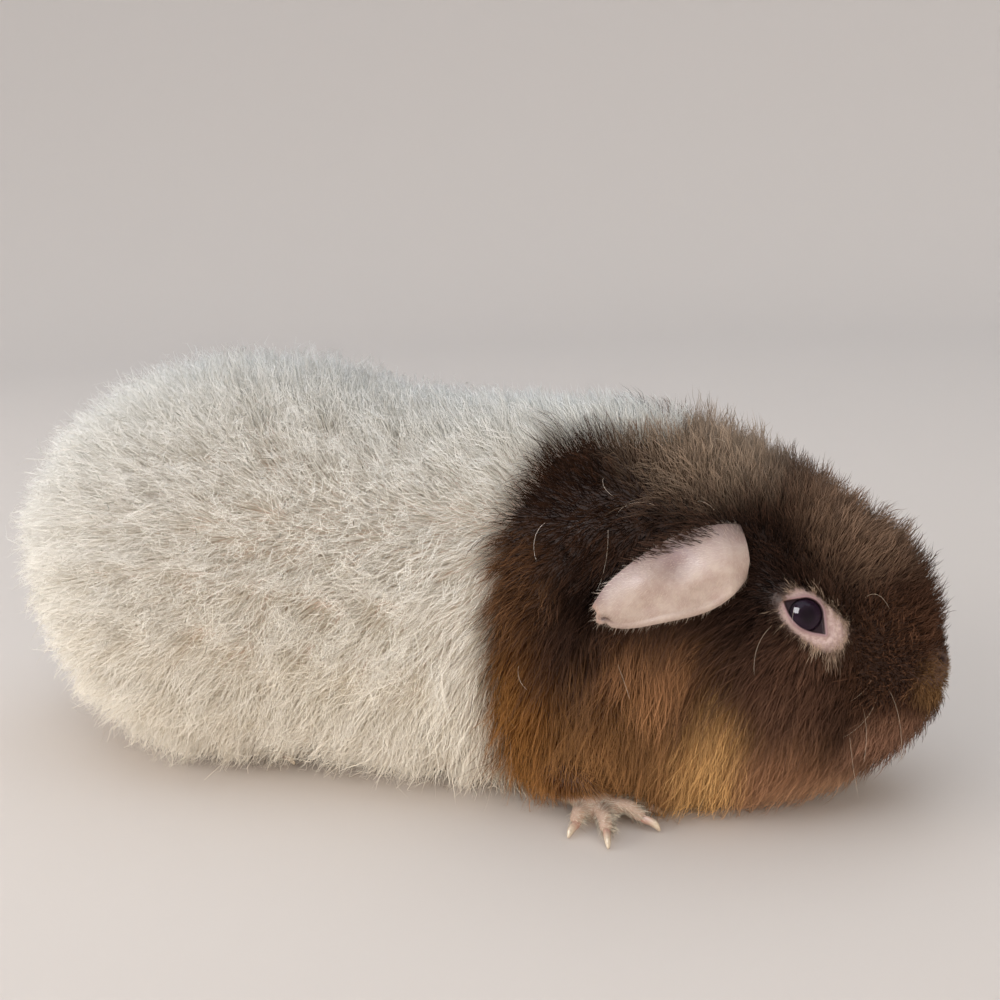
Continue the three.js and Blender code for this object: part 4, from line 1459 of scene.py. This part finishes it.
# these lie their own way: which way, how steeply in degrees, and below what height in mm
FOOT.update(lie=(1, 0, -0.3), stand=24, below=7.5)
EAR_EDGE.update(lie=(-0.9, 0, -0.35), stand=22, below=999)
DOWN.update(lie=(-0.8, 0, -0.6), stand=26, below=999)


def face_share(place):
    """0 on the trunk, 1 on the head."""
    return smooth(62, 84, place[:, 0] / MM)


def on_body(density):
    """A density on the trunk, thinner close to the floor."""
    return lambda place: density * (1 - face_share(place)) * (1 - 0.65 * smooth(13, 3, place[:, 2] / MM))


def on_face(density, bare=0.0):
    """A density on the head. The ring round an eye has no hair inside the share bare of it."""
    return lambda place: density * face_share(place) * smooth(bare - 0.15, bare + 0.05, ring_share(place))


def even(density):
    return lambda place: np.full(len(place), density)


def round_eyes(density):
    """A density in a band along the outer edge of the bare rings."""

    def found(place):
        share = ring_share(place)
        return density * smooth(0.72, 0.86, share) * smooth(1.22, 1.08, share)

    return found


ear_walls = {}
for side, ear in ears.items():
    ear_walls[side] = BVHTree.FromObject(ear, bpy.context.evaluated_depsgraph_get())


def keep_under_ears(root, bend, tip):
    """Shortens the hairs that would come through an ear from below, or hang down over it."""
    share = np.ones(len(root))
    half = root / MM
    half[:, 1] = np.abs(half[:, 1])
    near = ((half > EARS_LOW) & (half < EARS_HIGH)).all(axis=1)
    for index in np.flatnonzero(near):
        way = Vector(tip[index] - root[index])
        reach = way.length
        side = 1 if root[index, 1] > 0 else -1
        struck = ear_walls[side].ray_cast(Vector(root[index]), way / reach, reach)
        if struck[3] is not None:
            share[index] = max(0.15, 0.85 * struck[3] / reach)
        elif ear_walls[side].ray_cast(Vector(tip[index]), Vector((0, -side, 0)), EAR_COVER)[3] is not None:
            share[index] = OVER_EAR
    share = share[:, None]
    return root + (bend - root) * share, root + (tip - root) * share


def grow_layer(ground, density, settings, width, locks=()):
    root, normal, rise = ground.sow(density)
    bend, tip, up = shape_hairs(root, normal, rise, settings)
    lock = np.arange(len(root))
    for spacing, pull, swing in locks:
        bend, tip, lock = gather_locks(root, bend, tip, spacing, pull, swing)
    if ground is body_ground:
        bend, tip = keep_under_ears(root, bend, tip)
    # A hair's tint is its own tone plus a part that its whole lock shares: painted shade and light between
    # the locks.
    tint = np.clip(rng.normal(0.5, 0.19, len(root)) + 0.2 * np.sin(lock * 2.4), 0, 1)
    depth = np.linalg.norm(rise, axis=1) / MM
    width = width * MM * (0.75 + 0.5 * rng.random(len(root))) * smooth(FINEST_AT, FULL_AT, depth)
    return {"root": root, "bend": bend, "tip": tip, "up": up, "width": width, "tint": tint}


def upper_edge(side):
    """A density of hairs along the rooted upper edge of an ear."""
    axis, length, down, _ = ear_axes()

    def density(place):
        own = place * (1, side, 1) / MM - EAR_FRONT
        along, below = own @ axis / length, own @ down
        return 2.0 * smooth(0.02, 0.12, along) * smooth(0.85, 0.7, along) * smooth(-6.2, -7.8, below)

    return density


# hairs, rings along each, crimp. A layer's locks are hairs to a lock, pull and swing
LAYERS = [
    (grow_layer(body_ground, on_body(2.0), UNDER, 0.13, [(9, 0.22, 0.10)]), NEEDLE, 0.0),
    (grow_layer(body_ground, on_face(5.6), FACE_UNDER, 0.11, [(9, 0.35, 0.10)]), NEEDLE, 0.0),
    (grow_layer(body_ground, on_body(0.92), OUTER, 0.062, [(40, 0.3, 0.16), (7, 0.55, 0.15)]), CRIMPED, 0.17),
    (grow_layer(body_ground, on_face(1.6, 1.0), FACE_OUTER, 0.07, [(9, 0.5, 0.15)]), CRIMPED, 0.22),
    (grow_layer(body_ground, round_eyes(8.0), FRINGE, 0.085), CRIMPED, 0.12),
    (grow_layer(foot_ground, even(5.5), FOOT, 0.21), NEEDLE, 0.0),
]
for side in ears:
    LAYERS.append((grow_layer(ear_grounds[side], upper_edge(side), EAR_EDGE, 0.2), CRIMPED, 0.04))
print("hairs:", [len(layer["root"]) for layer, _, _ in LAYERS])

# %% Part the coat into pieces
SECTIONS = {"rump": -88, "hips": -48, "loins": -8, "shoulders": 36, "neck": 70, "head": 99, "face": 999}


def part_coat():
    pieces = []
    start = -999
    for section, end in SECTIONS.items():
        for side, hand in HANDS.items():
            sets = []
            for layer, stops, crimp in LAYERS:
                root = layer["root"]
                here = (root[:, 0] >= start * MM) & (root[:, 0] < end * MM)
                here &= (root[:, 1] >= 0) == (side > 0)
                if here.any():
                    hairs = {key: values[here] for key, values in layer.items()}
                    hairs["map"] = unwrap(hairs["root"])
                    sets.append(strands(hairs, stops, crimp))
            pieces.append(hair_piece(f"coat_{section}_{hand}", stack(sets), HAIR))
        start = end
    return pieces


coat = part_coat()
print("coat:", {piece.name: len(piece.data.polygons) for piece in coat})
print("coat in all:", sum(len(piece.data.polygons) for piece in coat), "faces")

# %% [markdown]
# The ears carry a pale down so short that it only softens their edge. Whiskers stand in rows on
# the muzzle, with one over each eye, and here and there a long pale guard hair curls out of the
# coat. Down and long hairs have plain pale materials of their own.

# %% Ear down, whiskers and guard hairs
WHISKER = [(k / 8, 1 - 0.07 * k) for k in range(8)]  # eight rings, tapering
WHISKER_PLACES = [(126, 35), (121, 36), (124, 30), (119, 29), (122, 25), (115, 24), (103, 67)]  # x, z mm
WHISKER_OUT, WHISKER_SHIFT = 24, 1.2  # mm: |y| from where the skin is sought, and how they scatter
WHISKER_WAYS = (-0.7, 0.2, -1.0), (0.3, 0.8, -0.1)  # between these
WHISKER_HALF, GUARD_HALF = 0.042 * MM, 0.038 * MM  # their radius at the root
GUARD_DENSITY = 0.0015  # to the square mm


def pale_material(name, root_colour, tip_colour):
    material, w, shader = new_material(name)
    along, tint = read_attribute(w, "along", "Fac"), read_attribute(w, "tint", "Fac")
    colour = w.mix(along, srgb(*root_colour), srgb(*tip_colour))
    shade = w.math("ADD", w.math("MULTIPLY", tint, 0.3), 0.85)
    shaded = w.node("ShaderNodeHueSaturation", {"Value": shade, "Color": colour})
    w.feed(shader["Base Color"], shaded.outputs[0])
    shader["Roughness"].default_value = 0.45
    return material


EAR_FUZZ = pale_material("ear_fuzz", (180, 156, 140), (212, 195, 178))
PALE_HAIR = pale_material("pale_hair", (176, 152, 130), (226, 212, 192))
skin_tree = BVHTree.FromObject(skin, bpy.context.evaluated_depsgraph_get())


def arcs(root, up, way, reach, width):
    """Long hairs that set out along way and curl over in a bend of their own."""
    count = len(root)
    curl = unit(np.cross(way, random_ways(count)) + (0, 0, -0.5))
    bend = root + unit(up * 0.4 + way) * (0.5 * reach)[:, None]
    tip = bend + unit(way * 0.35 + curl) * (0.55 * reach)[:, None]
    tip[:, 2] = np.maximum(tip[:, 2], 1.5 * MM)
    tint = rng.random(count)
    return {"root": root, "bend": bend, "tip": tip, "up": up, "width": np.full(count, width), "tint": tint}


def whiskers(side):
    """Rows on the muzzle, and one over the eye."""
    count = len(WHISKER_PLACES)
    starts = np.array([(x, side * WHISKER_OUT, z) for x, z in WHISKER_PLACES], float)
    starts[:, (0, 2)] += rng.normal(0, WHISKER_SHIFT, (count, 2))
    found = [skin_tree.find_nearest(Vector(start) * MM) for start in starts]
    root, up = (np.array([hit[k] for hit in found]) for k in (0, 1))
    way = unit(rng.uniform(*WHISKER_WAYS, (count, 3)) * (1, side, 1))
    return arcs(root, up, way, rng.uniform(11, 24, count) * MM, WHISKER_HALF)


def guard_hairs():
    """Long hairs that lie over the coat here and there."""
    root, _, rise = body_ground.sow(even(GUARD_DENSITY))
    way = unit(growth(root)[0] + unit(rise) * 0.4 + random_ways(len(root)) * 0.7)
    reach = rng.uniform(8, 15, len(root)) * MM
    return arcs(root + rise * 0.7, unit(rise), way, reach, GUARD_HALF)


def fine_hairs(name, hairs, stops, material):
    hairs["map"] = unwrap(hairs["root"])
    return hair_piece(name, strands(hairs, stops), material)


for side, hand in HANDS.items():
    down = grow_layer(ear_grounds[side], even(5.0), DOWN, 0.085)
    fine_hairs(f"ear_down_{hand}", down, NEEDLE, EAR_FUZZ)
    fine_hairs(f"whiskers_{hand}", whiskers(side), WHISKER, PALE_HAIR)
guard = guard_hairs()
fine_hairs("guard_hairs", guard, WHISKER, PALE_HAIR)
print("guard hairs:", len(guard["root"]))
